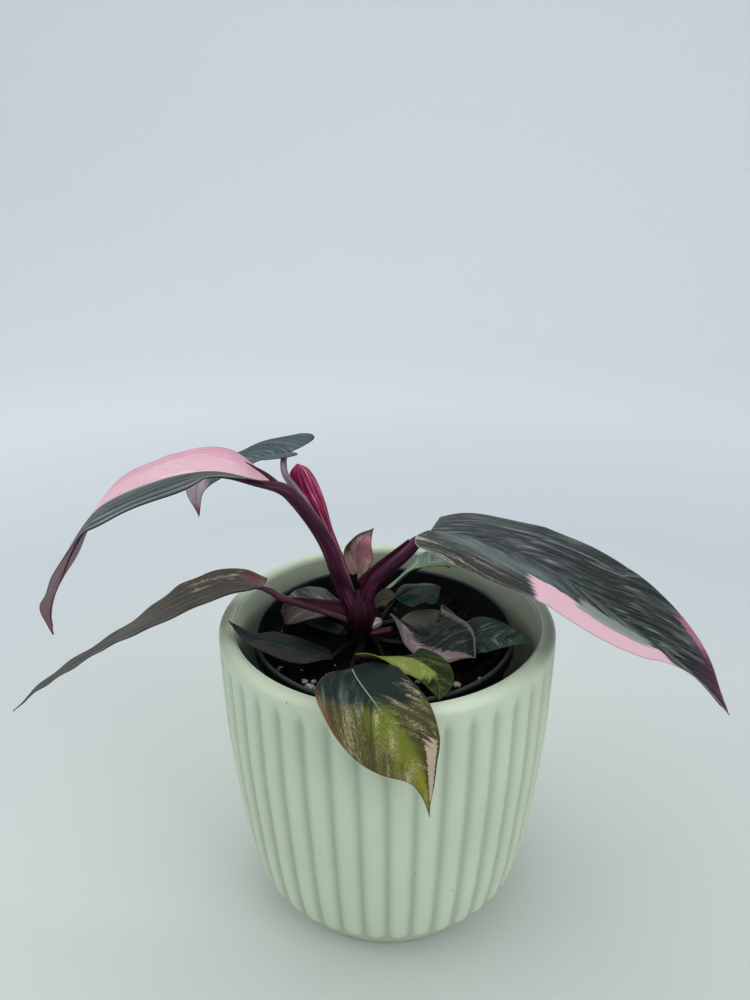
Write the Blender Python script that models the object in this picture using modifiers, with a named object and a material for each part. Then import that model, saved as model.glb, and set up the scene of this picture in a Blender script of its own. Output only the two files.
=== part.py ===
# Potted philodendron: ribbed cover pot, nursery pot, soil, stem, bud and fourteen leaves.
# Sizes in millimetres. +Z is up, the front of the pot faces -Y.
import math

import bmesh
import bpy
import numpy as np
from mathutils import Matrix, Vector

MM = 0.001
GAP = 0.3
MERGE = 1e-6

# Cover pot: rows (radius, height) from the inner floor's centre round to the base.
POT_INNER = ((0, 7), (46, 7), (52, 13), (61, 55), (63.6, 105), (63.6, 129.8), (64.3, 131.2))
POT_LIP = ((66.5, 131.4), (69.1, 130.7), (70, 128.4))
POT_OUTER = (
    (70.1, 124), (70.1, 119), (69.3, 85), (66, 45), (63.7, 28), (62.3, 21), (61.6, 18.5),
    (60.9, 16), (60, 14), (57.5, 9), (53.5, 4), (51.3, 0),
)
POT_RIBS = 42
RIB_STEPS = 3
RIB_DEPTH = 1.6
RIB_END = 14.5
RIB_TOP = 127
RIB_FADE = 6
RIB_POWER = 2.4

# Nursery pot and soil.
ROUND_STEPS = 36
NURSERY = (
    (0, 8.8), (40, 8.8), (51.4, 118.5), (53.4, 120.5), (53.5, 124.5), (54.4, 125.2),
    (55.2, 124.3), (55.2, 119.6), (52.8, 118.4), (41, 7.3), (0, 7.3),
)
NURSERY_CENTRE = (-1.2, 1.2)
DRAIN_RADIUS = 4
DRAIN_SPAN = (5, 12)
DRAIN_CIRCLE = 27
DRAINS = 4
SOIL_TOP = 116
SOIL_RINGS = (0, 7, 14, 21, 28, 35, 42, 47.5)
SOIL_BOTTOM = 9.1
SOIL_RADIUS_TOP = 50.8
SOIL_RADIUS_BOTTOM = 39.7
# Pale grains on the soil: x, y, radius.
GRAINS = (
    (-30, -34, 2.1), (-32.5, -28.5, 1.4), (-29, -28, 1.2), (-43, -20, 1.5), (27.5, -31, 1.7),
    (37, -26, 1.1), (-8, -39, 1.2), (12, -30, 1.1), (40, 5, 1.3), (-38, 24, 1.4), (5, 42, 1.2),
)

# Stem rows: x, y, z, radius. It stands in a hole in the soil.
HOLE_BOTTOM = 86
STEM = (
    (-11.5, 0, 86.3, 4.8), (-11.5, 0, 100, 5.2), (-11.5, 0, 116, 5.5), (-11.5, 0, 124, 6.2),
    (-11.5, 0, 131, 7), (-11.5, 0, 136, 6.3), (-11.8, 0, 139.5, 4.6), (-12, 0, 141, 2.2),
)
STEM_EXTRAS = (
    ((-9, -1, 125, 2.4), (-5.5, -2, 127, 2.3), (-2.6, -2.5, 128.6, 1.6)),
    ((-9, -2, 122.5, 1.8), (-3, -4, 124.3, 1.6), (2.6, -4.6, 125.8, 1.1)),
    ((-15, 1.5, 132, 0.8), (-20, 2, 137, 0.6), (-24, 2, 148, 0.4)),
)

# Bud sheath, flattened front to back about the plane y = BUD_Y.
BUD_Y = 11.5
BUD_FLAT = 0.6
BUD_STALK = ((-12.5, 4.5, 131.5, 1.9), (-14, 7.5, 134, 1.8))
BUD = (
    (-16.7, 137.7, 1.8), (-18.8, 147.4, 1.7), (-21.3, 155, 1.7), (-24.4, 163.5, 2),
    (-26.8, 168.9, 3.1), (-28.9, 173.4, 4.3), (-31.3, 177.9, 5.4), (-33.4, 182.3, 5.9),
    (-34.9, 186.7, 5.5), (-35.9, 191, 3.8), (-36.5, 193.6, 1),
)

# Leaf blades.
BLADE = 0.8
SPINE_STEPS = 40
EDGE_STEPS = 12
ROW_POWER = 1.25
RIDGE_SINK = 0.2
RIDGE_END = 0.86
RIDGE_START = 0.5
RIDGE_LEAST = 0.55
RIDGE_POWER = 1.5
THICK_STALK = 1.6
PROFILE = (
    (-0.03, 0.05), (-0.09, 0.22), (-0.13, 0.48), (-0.06, 0.80), (0.10, 0.97), (0.30, 1.0),
    (0.52, 0.86), (0.72, 0.56), (0.86, 0.26), (0.94, 0.09), (1.0, 0.02),
)
HEART = (
    (-0.03, 0.06), (-0.08, 0.25), (-0.13, 0.6), (-0.08, 0.9), (0.06, 1), (0.26, 0.98),
    (0.5, 0.85), (0.7, 0.62), (0.84, 0.36), (0.93, 0.14), (1, 0.02),
)
BROAD = (
    (-0.03, 0.05), (-0.09, 0.22), (-0.13, 0.48), (-0.06, 0.80), (0.10, 0.97), (0.30, 1.0),
    (0.52, 0.94), (0.72, 0.74), (0.87, 0.42), (0.95, 0.16), (1.0, 0.02),
)
LANCE = (
    (-0.03, 0.05), (-0.09, 0.22), (-0.13, 0.48), (-0.06, 0.80), (0.10, 0.97), (0.28, 1.0),
    (0.50, 0.80), (0.70, 0.47), (0.85, 0.21), (0.94, 0.08), (1.0, 0.02),
)
DRAWN_OUT = (
    (-0.03, 0.05), (-0.09, 0.22), (-0.13, 0.48), (-0.06, 0.80), (0.08, 0.98), (0.26, 1.0),
    (0.46, 0.94), (0.64, 0.66), (0.78, 0.32), (0.90, 0.10), (1.0, 0.02),
)
ROUND_BASE = (
    (0.00, 0.05), (0.06, 0.16), (0.12, 0.33), (0.17, 0.53), (0.23, 0.76), (0.31, 0.95),
    (0.45, 0.95), (0.61, 0.62), (0.75, 0.24), (0.88, 0.08), (1.0, 0.02),
)
FULL_END = (
    (-0.03, 0.05), (-0.05, 0.20), (-0.04, 0.42), (0.02, 0.64), (0.12, 0.84), (0.27, 0.97),
    (0.46, 0.98), (0.64, 0.72), (0.78, 0.36), (0.90, 0.11), (1.0, 0.02),
)
NARROW_BASE = (
    (-0.03, 0.05), (-0.03, 0.15), (0.01, 0.27), (0.05, 0.42), (0.13, 0.68), (0.28, 0.96),
    (0.50, 0.88), (0.71, 0.58), (0.86, 0.26), (0.94, 0.09), (1.0, 0.02),
)

# Each leaf: stalk rows (x, y, z, radius); spine rows (x, y, z, then the left and the right
# half's lean above level, in degrees); the left-hand direction seen from above; half widths
# and lobes for the left and the right half; rows and columns of the blade's mesh.
LEAVES = {
    "leaf_upper_left": {
        "stalk": ((-12.8, -2, 130.5, 3.5), (-15, -2.2, 137, 3.5), (-18, -2, 145, 3.5),
                  (-20, -3.5, 152, 3.4), (-23.3, -5, 164, 3.3), (-28.2, -8, 175.5, 3.1),
                  (-35.2, -11, 187, 2.8), (-40.5, -13.3, 192.4, 2.3)),
        "spine": ((-47.1, -14.7, 195.9, 20, -17), (-65.7, -13.4, 199.3, 12, 4),
                  (-86.5, -16.6, 196.8, 2, 6), (-108, -15, 186.7, -2, 7),
                  (-120, -18, 171.7, -3, 3), (-129.2, -16.2, 155.3, 2, 2),
                  (-136.9, -13.5, 140.6, 7, 7), (-138.4, -11.2, 127, 5, 10)),
        "left": (0, -1, 0), "widths": (28.5, 28), "curl": -7.5, "lobes": (0.4, 0.1),
        "edges": (NARROW_BASE, PROFILE), "size": (15, 4),
        "strips": (((-35, -11, 186.5, 1.4), (-40.5, -12, 192.5, 1.1), (-45.5, -12.5, 197.5, 0.9),
                    (-53, -12.5, 202.5, 0.45)),),
    },
    "leaf_large_right": {
        "stalk": ((-9.5, -1.6, 135, 3.3), (-6, -1, 146, 3.3), (0.5, -0.5, 152.5, 3.2),
                  (7.5, 1.5, 158.2, 2.9), (13, 3.8, 162.6, 2.4)),
        "spine": ((18.3, 6.5, 166.6, -11, 13), (37.4, 2.5, 165.2, -4, 6), (55.1, -6.4, 161.3, 4, 2),
                  (71.1, -13.2, 154.5, 12, 0), (86.1, -22.7, 146, 20, -3),
                  (103.1, -28.2, 135.1, 24, 0), (117.8, -36, 124.6, 25, 2), (129.4, -42.5, 112.2, 27, 4)),
        "left": (0, 1, 0), "widths": (37, 40), "curl": -2, "lobes": (0, 0.2),
        "edges": (BROAD, DRAWN_OUT), "size": (16, 4),
        "wings": ((((-12.6, -2, 147.5), (-6, -1, 153.4), (0.5, 0, 158.4), (9, 2.5, 164.2)),
                   ((-9, -1.6, 141), (-5, -1, 147), (0.5, -0.5, 153), (9.5, 2.2, 159.6))),),
    },
    "leaf_lower_left": {
        "stalk": ((-14.5, -3, 129, 1.9), (-24, -3, 133, 1.7), (-36, -1.5, 136, 1.6),
                  (-45, -1.5, 139.5, 1.5), (-48.5, -2, 142.4, 1.4)),
        "spine": ((-51.5, -1.9, 145.5, 14, -28), (-66.5, -2.9, 144.2, 4, -10),
                  (-90.4, -5.1, 134.4, 1, -4), (-118.9, -3.3, 119, 1, -16),
                  (-145.5, -6.1, 102.8, -11, -10), (-165, -6.2, 85.2, -13, 4)),
        "left": (0, -1, 0), "widths": (17, 19.5), "curl": 23, "lobes": (0, 0),
        "edges": (LANCE, LANCE), "size": (15, 4),
        "wings": ((((-42, -1.5, 139.2), (-36, -1.5, 139.2), (-24, -3, 139), (-17, -3, 138.8)),
                   ((-42, -1.5, 138.3), (-36, -1.5, 136.2), (-24, -3, 133), (-17, -3, 130.5))),),
    },
    "leaf_small_back": {
        "stalk": ((-13.6, 2.6, 132, 1.7), (-15, 3.8, 138, 1.7), (-17, 4.2, 145, 1.7),
                  (-20, 4.2, 153, 1.7), (-24.5, 4.2, 162, 1.6), (-30, 4.2, 174, 1.6),
                  (-36, 4.6, 184, 1.5), (-41, 7.5, 190.4, 1.4), (-42.5, 15, 194, 1.3)),
        "spine": ((-41.4, 20.9, 195.8, 4, 13), (-52.5, 24.7, 193.2, 3, 9),
                  (-67.5, 24.5, 188, -3, 10), (-81.1, 23.3, 180.7, -38, 50),
                  (-82.5, 23.5, 165.3, -63, 73)),
        "left": (0, -1, 0), "widths": (10.5, 14), "curl": 4, "lobes": (1.0, 1.2), "edges": (HEART, HEART),
        "size": (10, 3),
    },
    "leaf_crumpled": {
        "stalk": ((-9, 4.5, 129.5, 1.3), (-9, 9, 132, 1.2), (-10, 13, 136, 1.1),
                  (-12, 15.5, 140, 0.9)),
        "spine": ((-12.4, 16, 142.4, -22, 58), (-13, 18, 149.5, -8, 44),
                  (-11, 15.7, 157.2, 8, 28), (-5.6, 16, 163, 20, 16)),
        "left": (-1, 0, 0), "widths": (6, 9), "lobes": (0.5, 0.5), "size": (9, 3),
    },
    "leaf_front": {
        "stalk": ((-10, -3.5, 120.5, 1.9), (-10.5, -12, 121.8, 1.8), (-11.5, -24, 124.8, 1.7),
                  (-12.5, -35, 128, 1.6)),
        "spine": ((-12.9, -42.4, 132, 10, 13), (-9.7, -55.4, 135.3, 8, 20),
                  (-1.3, -72.2, 134.3, -6, 20), (6.7, -80.6, 126.1, -14, 28),
                  (12.4, -81.1, 112, -21, 31), (14.5, -82.2, 99.9, -15, 28)),
        "left": (1, 0, 0), "widths": (16.5, 22), "curl": 3, "lobes": (0.4, 1), "edges": (FULL_END, ROUND_BASE),
        "size": (13, 4),
    },
    "leaf_front_small": {
        "stalk": ((-7.4, -2.6, 122.6, 1.4), (-4.2, -8, 122.2, 1.3), (-3, -14, 122.4, 1.2)),
        "spine": ((-1.3, -23.3, 125.1, -38, 12), (6.1, -31.1, 129.7, -26, 11),
                  (14.5, -35.9, 128.1, -6, 7), (18.9, -43.9, 126.9, 6, 5),
                  (19, -53.2, 126.2, 1, -6)),
        "left": (1, 1, 0), "widths": (9.5, 16), "curl": 28, "lobes": (0.4, 0.2),
        "edges": (BROAD, PROFILE), "size": (9, 3),
    },
    "leaf_right_cupped": {
        "stalk": ((-6.8, 1.2, 123, 1.4), (-1, 2.4, 124.4, 1.3), (4, 2.4, 125.6, 1.2)),
        "spine": ((5.7, -1.1, 128.2, 24, -1), (11.2, -12.7, 123.3, 28, 3),
                  (18.5, -16.2, 121.2, 29, -1), (29.4, -19.5, 123.6, 28, -10),
                  (34.5, -25.8, 126.1, 23, -8)),
        "left": (0, 1, 0), "widths": (23, 9), "curl": 23.5, "lobes": (0.8, 0.3),
        "edges": (BROAD, PROFILE), "size": (9, 3),
    },
    "leaf_right_under": {
        "stalk": ((-6.6, -1.8, 119.6, 1.3), (2, -4.5, 119.6, 1.2), (12, -5.5, 119.8, 1.1)),
        "spine": ((24.8, -1, 118.5, 5, 10), (32.5, -4.9, 121.8, 10, 4),
                  (40.5, -14.3, 128.1, 13, 2), (55.6, -30.1, 136.2, 14, 2)),
        "left": (0, 1, 0), "widths": (10, 11), "curl": -1.5, "lobes": (0.3, 0.3), "size": (9, 3),
    },
    "leaf_back_right": {
        "stalk": ((-7.2, 2.6, 120, 1.3), (-3, 6.5, 122.5, 1.2), (0, 10, 126, 1.1)),
        "spine": ((4.2, 14.6, 130.4, -1, 16), (10.7, 19.2, 132, 4, 17), (17.5, 24, 130.8, -3, 5),
                  (25.2, 29.8, 128.2, -2, -7)),
        "left": (0, 1, 0), "widths": (9.5, 13.5), "curl": -42, "lobes": (0.5, 0.5), "size": (9, 3),
    },
    "leaf_back_tall": {
        "stalk": ((-7.6, 2.6, 130, 1.3), (-5, 7.5, 131.5, 1.2), (-2, 13, 133.6, 1.1)),
        "spine": ((2.3, 17.1, 134.5, -8, 26), (10.3, 22, 139.7, -12, 25),
                  (18.6, 26.7, 141.9, -2, 13), (25.4, 36.2, 138.9, 7, 8),
                  (37.1, 42.7, 130.8, 10, 6)),
        "left": (0, 1, 0), "widths": (7, 10), "curl": -2.5, "lobes": (0.5, 0.5), "size": (9, 3),
    },
    "leaf_left_streaked": {
        "stalk": ((-14.5, -4.6, 119.6, 1.4), (-17.5, -10, 120, 1.3), (-20.5, -15.5, 120.8, 1.2)),
        "spine": ((-22.6, -18.3, 122.1, 28, -19), (-34.8, -18.8, 125.3, 12, -6),
                  (-45.7, -21.4, 130.5, 7, -5), (-54.6, -21.6, 132.5, 11, -4),
                  (-62.4, -20.1, 139.2, 7, 6)),
        "left": (0, -1, 0), "widths": (14, 9), "lobes": (0, 0), "size": (9, 3),
    },
    "leaf_left_back": {
        "stalk": ((-15.5, 3.4, 124.5, 1.4), (-18.5, 6.5, 126, 1.3)),
        "spine": ((-22, 11, 126.9, 20, -14), (-32.4, 13, 127.8, 5, -2),
                  (-42.4, 15.9, 125.1, -15, 15), (-48.8, 21.8, 120.1, -26, 28)),
        "left": (0, -1, 0), "widths": (14.5, 17.5), "curl": -7, "lobes": (0.6, 0.6), "size": (9, 3),
    },
    "leaf_sprout": {
        "stalk": ((-15.8, 1.4, 119.3, 1.1), (-18, 2.4, 119.8, 1)),
        "spine": ((-20, 3, 120.6, 13, 3), (-26, 4.4, 122, 13, 3), (-31, 6.5, 122.2, 13, 3),
                  (-36.5, 9, 121, 13, 3)),
        "left": (0, -1, 0), "widths": (5.5, 4.5), "lobes": (0.4, 0.4), "size": (8, 2),
    },
}

# Stalks that a later stalk keeps clear of.
CLEAR_OF = {
    "leaf_lower_left": ("leaf_upper_left",),
    "leaf_large_right": ("leaf_upper_left",),
    "leaf_small_back": ("leaf_upper_left",),
}

MATERIALS = {
    "glazed_mint": ((0.56, 0.74, 0.66), 0.35),
    "black_plastic": ((0.015, 0.015, 0.016), 0.45),
    "potting_soil": ((0.022, 0.017, 0.013), 0.95),
    "stem_tissue": ((0.16, 0.05, 0.07), 0.6),
    "crimson_bud": ((0.35, 0.03, 0.06), 0.4),
    "green_leaf": ((0.06, 0.13, 0.05), 0.4),
    "pink_green_leaf": ((0.30, 0.16, 0.14), 0.4),
    "cream_leaf": ((0.62, 0.42, 0.36), 0.45),
}
PINK_GREEN = ("leaf_upper_left", "leaf_large_right", "leaf_lower_left")


def clear_scene():
    for obj in list(bpy.data.objects):
        bpy.data.objects.remove(obj)


def new_collection(name):
    group = bpy.data.collections.new(name)
    bpy.context.scene.collection.children.link(group)
    return group


def link_mesh(name, mesh):
    obj = bpy.data.objects.new(name, mesh)
    bpy.data.collections["potted_philodendron"].objects.link(obj)
    return obj


def mesh_object(name, points, faces):
    mesh = bpy.data.meshes.new(name)
    mesh.from_pydata([Vector(point) * MM for point in points], [], faces)
    mesh.update()
    return link_mesh(name, mesh)


def plain_mesh(obj):
    """Replaces obj by an object with its modifiers or curve turned into one welded mesh."""
    bpy.context.view_layer.update()
    graph = bpy.context.evaluated_depsgraph_get()
    mesh = bpy.data.meshes.new_from_object(obj.evaluated_get(graph))
    mesh.transform(obj.matrix_world)
    work = bmesh.new()
    work.from_mesh(mesh)
    bmesh.ops.remove_doubles(work, verts=work.verts, dist=MERGE)
    bmesh.ops.recalc_face_normals(work, faces=work.faces)
    work.to_mesh(mesh)
    work.free()
    name = obj.name
    bpy.data.objects.remove(obj)
    return link_mesh(name, mesh)


def boolean(body, others, operation):
    """Fuses others into body, or cuts them from it, then removes them."""
    group = new_collection("operands")
    for other in others:
        bpy.data.collections["potted_philodendron"].objects.unlink(other)
        group.objects.link(other)
    modifier = body.modifiers.new(operation, "BOOLEAN")
    modifier.operation = operation
    modifier.solver = "EXACT"
    modifier.operand_type = "COLLECTION"
    modifier.collection = group
    result = plain_mesh(body)
    for other in others:
        bpy.data.objects.remove(other)
    bpy.data.collections.remove(group)
    return result


def smooth(rows, steps):
    """Points along a smooth curve through every row."""
    p = np.asarray(rows, float)
    p = np.vstack([2 * p[0] - p[1], p, 2 * p[-1] - p[-2]])
    t = np.linspace(0, 1, steps, endpoint=False)[:, None]
    parts = []
    for a, b, c, d in zip(p, p[1:], p[2:], p[3:]):
        bend = 2 * a - 5 * b + 4 * c - d + t * (3 * (b - c) + d - a)
        parts.append(b + 0.5 * t * (c - a + t * bend))
    return np.vstack(parts + [p[-2:-1]])


def unit(v):
    return v / np.linalg.norm(v, axis=-1, keepdims=True)


def tube(name, rows, grow=0.0, resolution=2):
    """A closed round bar through rows of x, y, z and radius."""
    curve = bpy.data.curves.new(name, "CURVE")
    curve.dimensions = "3D"
    curve.bevel_depth = MM
    curve.bevel_resolution = resolution
    curve.use_fill_caps = True
    spline = curve.splines.new("POLY")
    spline.points.add(len(rows) - 1)
    for point, (x, y, z, radius) in zip(spline.points, rows):
        point.co = (x * MM, y * MM, z * MM, 1)
        point.radius = radius + grow
    return plain_mesh(link_mesh(name, curve))


def lathe(name, profile, steps):
    """A solid turned about the Z axis from rows of radius and height."""
    mesh = bpy.data.meshes.new(name)
    edges = [(i, i + 1) for i in range(len(profile) - 1)]
    mesh.from_pydata([(r * MM, 0, z * MM) for r, z in profile], edges, [])
    obj = link_mesh(name, mesh)
    screw = obj.modifiers.new("turn", "SCREW")
    screw.axis = "Z"
    screw.steps = steps
    screw.render_steps = steps
    screw.use_merge_vertices = True
    screw.merge_threshold = 0.0001
    return plain_mesh(obj)


def rib_deficit(angle, radius, height):
    """How far the wall lies inside the rib crests, with a valley at angle 0."""
    pitch = 2 * math.pi * radius / POT_RIBS
    turn = angle * POT_RIBS / (2 * math.pi)
    across = abs(turn - math.floor(turn) - 0.5) * pitch
    end = RIB_END + pitch / 2
    away = math.hypot(across, max(0.0, end - height))
    fade = min(1.0, max(0.0, (RIB_TOP - height) / RIB_FADE))
    return RIB_DEPTH * fade * min(1.0, 2 * away / pitch) ** RIB_POWER


def cover_pot():
    obj = lathe("cover_pot", POT_INNER + POT_LIP + POT_OUTER + ((0, 0),), POT_RIBS * RIB_STEPS)
    outer = [(round(r, 2), z) for r, z in POT_OUTER]
    for vertex in obj.data.vertices:
        x, y, z = (c / MM for c in vertex.co)
        radius = math.hypot(x, y)
        if (round(radius, 2), round(z, 2)) not in outer:
            continue
        shrink = 1 - rib_deficit(math.atan2(y, x) + 1e-6, radius, z) / radius
        vertex.co.x *= shrink
        vertex.co.y *= shrink
    obj.data.transform(Matrix.Rotation(-math.pi / 2, 4, "Z"))
    return obj


def nursery_pot():
    obj = lathe("nursery_pot", NURSERY, ROUND_STEPS)
    holes = []
    for i in range(DRAINS):
        angle = math.pi / 4 + 2 * math.pi * i / DRAINS
        x = DRAIN_CIRCLE * math.cos(angle)
        y = DRAIN_CIRCLE * math.sin(angle)
        rows = [(x, y, z, DRAIN_RADIUS) for z in DRAIN_SPAN]
        holes.append(tube(f"drain_{i}", rows, resolution=6))
    obj = boolean(obj, holes, "DIFFERENCE")
    move_to_nursery_centre(obj)
    return obj


def move_to_nursery_centre(obj):
    obj.data.transform(Matrix.Translation(Vector((*NURSERY_CENTRE, 0)) * MM))


def soil_height(x, y):
    """The soil's bumps: low lumps, level beside the stem and at the wall."""
    lumps = math.sin(0.31 * x + 1.1) * math.cos(0.27 * y - 0.4) + 0.7 * math.sin(0.19 * x - 0.33 * y)
    beside_stem = min(1.0, max(0.0, (math.hypot(x - STEM[0][0], y) - 8) / 8))
    beside_wall = min(1.0, max(0.0, (SOIL_RADIUS_TOP - math.hypot(x, y)) / 5))
    return SOIL_TOP + 1.1 * lumps * beside_stem * beside_wall


def soil():
    top = tuple((r, SOIL_TOP) for r in SOIL_RINGS)
    wall = ((SOIL_RADIUS_TOP, SOIL_TOP), (SOIL_RADIUS_BOTTOM, SOIL_BOTTOM), (0, SOIL_BOTTOM))
    obj = lathe("soil", top + wall, ROUND_STEPS)
    for vertex in obj.data.vertices:
        if vertex.co.z > (SOIL_TOP - 1) * MM:
            vertex.co.z = soil_height(vertex.co.x / MM, vertex.co.y / MM) * MM
    move_to_nursery_centre(obj)
    obj = boolean(obj, [grain(i, *row) for i, row in enumerate(GRAINS)], "UNION")
    x, y, _, radius = STEM[2]
    rows = ((x, y, HOLE_BOTTOM, radius + GAP), (x, y, SOIL_TOP + 9, radius + GAP))
    return boolean(obj, [tube("stem_hole", rows, resolution=4)], "DIFFERENCE")


def grain(index, x, y, radius):
    work = bmesh.new()
    turn = Matrix.Rotation(0.7 * index, 4, (1, 1, 1))
    bmesh.ops.create_icosphere(work, subdivisions=1, radius=radius * MM, matrix=turn)
    mesh = bpy.data.meshes.new(f"grain_{index}")
    work.to_mesh(mesh)
    work.free()
    dx, dy = NURSERY_CENTRE
    mesh.transform(Matrix.Translation(Vector((x, y, soil_height(x - dx, y - dy) + 0.2)) * MM))
    return link_mesh(mesh.name, mesh)


def stem(name, grow=0.0):
    x, y, z, radius = STEM[-1]
    body = tube(name, (*STEM[:-1], (x, y, z + 2 * grow, radius)), grow, resolution=4)
    extras = [tube(f"stub_{i}", smooth(rows, 2), grow) for i, rows in enumerate(STEM_EXTRAS)]
    return boolean(body, extras, "UNION")


def bud():
    obj = tube("bud_sheath", smooth([(x, BUD_Y, z, r) for x, z, r in BUD], 2))
    squash = Matrix.Diagonal((1, BUD_FLAT, 1, 1))
    lift = Matrix.Translation((0, BUD_Y * MM, 0))
    obj.data.transform(lift @ squash @ lift.inverted())
    stalk = BUD_STALK + ((BUD[0][0], BUD_Y, BUD[0][1], 1.5), (BUD[1][0], BUD_Y, BUD[1][1], 0.8))
    obj = boolean(obj, [tube("bud_stalk", smooth(stalk, 2))], "UNION")
    return boolean(obj, [stem("cut_stem", GAP)], "DIFFERENCE")


def frames(leaf):
    """Fine steps of a leaf's spine: arc length, place, along, left and up vectors, leans."""
    q = smooth(leaf["spine"], SPINE_STEPS)
    p = q[:, :3]
    length = np.concatenate([[0], np.cumsum(np.linalg.norm(np.diff(p, axis=0), axis=1))])
    along = unit(np.gradient(p, axis=0))
    left = np.asarray(leaf["left"], float)
    left = unit(left - (along @ left)[:, None] * along)
    lean = np.radians(q[:, 3:])
    roll = (lean[:, :1] - lean[:, 1:]) / 2
    up = np.cross(along, left)
    turned = left * np.cos(roll) + up * np.sin(roll)
    return length, p, along, turned, up * np.cos(roll) - left * np.sin(roll), lean


def on_spine(spine, u):
    """Place, left, up and fold at the distances u along the spine, straight on before its start."""
    length, p, along, left, up, lean = spine
    values = np.hstack([p, left, up, lean.mean(axis=1, keepdims=True)])
    found = np.stack([np.interp(u, length, column) for column in values.T], axis=-1)
    place = found[..., :3] + np.minimum(u, 0)[..., None] * along[0]
    return place, found[..., 3:6], found[..., 6:9], found[..., 9:]


def half_blade(leaf, side):
    """Points and upward normals of one half of a blade: rows to the tip, columns to the edge."""
    spine = frames(leaf)
    full = spine[0][-1]
    rows, columns = leaf["size"]
    half = 0 if side > 0 else 1
    width = leaf["widths"][half]
    edge = smooth(leaf.get("edges", (PROFILE, PROFILE))[half], EDGE_STEPS)
    t = np.linspace(0, 1, rows)
    at = np.linspace(0, 1, len(edge))
    edge_u = np.interp(t, at, edge[:, 0]) * full
    edge_u = np.where(edge_u < 0, edge_u * leaf.get("lobes", (1, 1))[half], edge_u)
    edge_v = np.interp(t, at, edge[:, 1]) * width
    q = np.linspace(0, 1, columns + 1)[None, :]
    u = full * t[:, None] ** ROW_POWER * (1 - q) + edge_u[:, None] * q
    v = (edge_v[:, None] * q)[..., None]
    place, left, up, fold = on_spine(spine, u)
    lean = fold + math.radians(leaf.get("curl", 0) / 2) * v / width
    outward = side * left * np.cos(lean) + up * np.sin(lean)
    normal = up * np.cos(lean) - side * left * np.sin(lean)
    return place + v * outward, np.where(v > 0, normal, up)


def blade(name, leaf):
    """A thin blade: one triangulated sheet on top, the same beneath, and a rim."""
    right, right_normal = half_blade(leaf, -1)
    left, left_normal = half_blade(leaf, 1)
    top = np.concatenate([right[:, :0:-1], left], axis=1)
    normal = np.concatenate([right_normal[:, :0:-1], left_normal], axis=1)
    points = np.concatenate([top.reshape(-1, 3), (top - BLADE * normal).reshape(-1, 3)])
    rows, columns = top.shape[:2]
    faces = sheet_faces(rows, columns)
    below = rows * columns
    index = np.arange(below).reshape(rows, columns)
    rim = [*index[0], *index[1:, -1], *index[-1, -2::-1], *index[-2:0:-1, 0]]
    walls = [(a, b, b + below, a + below) for a, b in zip(rim, rim[1:] + rim[:1])]
    under = [tuple(corner + below for corner in face[::-1]) for face in faces]
    return plain_mesh(mesh_object(f"{name}_blade", points, faces + under + walls))


def sheet_faces(rows, columns):
    """Triangles of a grid, their diagonals alike on both sides of its middle column."""
    faces = []
    for i in range(rows - 1):
        for j in range(columns - 1):
            a = i * columns + j
            b, c, d = a + columns, a + columns + 1, a + 1
            faces += [(a, b, c), (a, c, d)] if j < columns // 2 else [(a, b, d), (b, c, d)]
    return faces


def wing(name, edge, root):
    """A thin wing of a sheath between its free edge and its root."""
    count = len(edge)
    faces = []
    for i in range(count - 1):
        faces += [(i, i + 1, count + i), (i + 1, count + i + 1, count + i)]
    obj = mesh_object(name, [*edge, *root], faces)
    shell = obj.modifiers.new("thickness", "SOLIDIFY")
    shell.thickness = BLADE * MM
    shell.offset = 0
    return plain_mesh(obj)


def stalk_and_ridge(name, leaf):
    """The leaf's stalk, going on as a tapering ridge under the blade."""
    spine = frames(leaf)
    full = spine[0][-1]
    end = leaf["stalk"][-1][3]
    u = np.linspace(0.02, RIDGE_END, leaf["size"][0] // 2 - 1) * full
    radius = RIDGE_LEAST + (end * RIDGE_START - RIDGE_LEAST) * (1 - u / full) ** RIDGE_POWER
    place, _, up, _ = on_spine(spine, u)
    ridge = np.column_stack([place - up * (radius + RIDGE_SINK)[:, None], radius])
    rows = smooth([*leaf["stalk"], *ridge], 2)
    return tube(f"{name}_stalk", rows, resolution=2 if end > THICK_STALK else 1)


def leaf_node(name, leaf):
    parts = [stalk_and_ridge(name, leaf)]
    for i, rows in enumerate(leaf.get("strips", ())):
        parts.append(tube(f"{name}_strip_{i}", smooth(rows, 2)))
    for i, (edge, root) in enumerate(leaf.get("wings", ())):
        parts.append(wing(f"{name}_wing_{i}", edge, root))
    obj = boolean(blade(name, leaf), parts, "UNION")
    cutters = [stem("cut_stem", GAP)]
    for other in CLEAR_OF.get(name, ()):
        cutters.append(tube("cut_stalk", smooth(LEAVES[other]["stalk"], 2), GAP))
    obj = boolean(obj, cutters, "DIFFERENCE")
    obj.name = name
    return obj


def give_material(obj, slot):
    material = bpy.data.materials.get(slot) or bpy.data.materials.new(slot)
    colour, roughness = MATERIALS[slot]
    material.use_nodes = True
    shader = material.node_tree.nodes["Principled BSDF"]
    shader.inputs["Base Color"].default_value = (*colour, 1)
    shader.inputs["Roughness"].default_value = roughness
    obj.data.materials.clear()
    obj.data.materials.append(material)
    obj.data.name = obj.name
    for face in obj.data.polygons:
        face.use_smooth = True


def main():
    clear_scene()
    new_collection("potted_philodendron")
    give_material(cover_pot(), "glazed_mint")
    give_material(nursery_pot(), "black_plastic")
    give_material(soil(), "potting_soil")
    give_material(stem("stem"), "stem_tissue")
    give_material(bud(), "crimson_bud")
    for name, leaf in LEAVES.items():
        slot = "pink_green_leaf" if name in PINK_GREEN else "green_leaf"
        give_material(leaf_node(name, leaf), "cream_leaf" if name == "leaf_crumpled" else slot)


main()
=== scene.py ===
"""Potted philodendron: the pot, soil, stem, bud and leaves in full detail, round the fixed frame."""
import math

import bmesh
import bpy
import numpy as np
from mathutils import Matrix, Vector, noise


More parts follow.
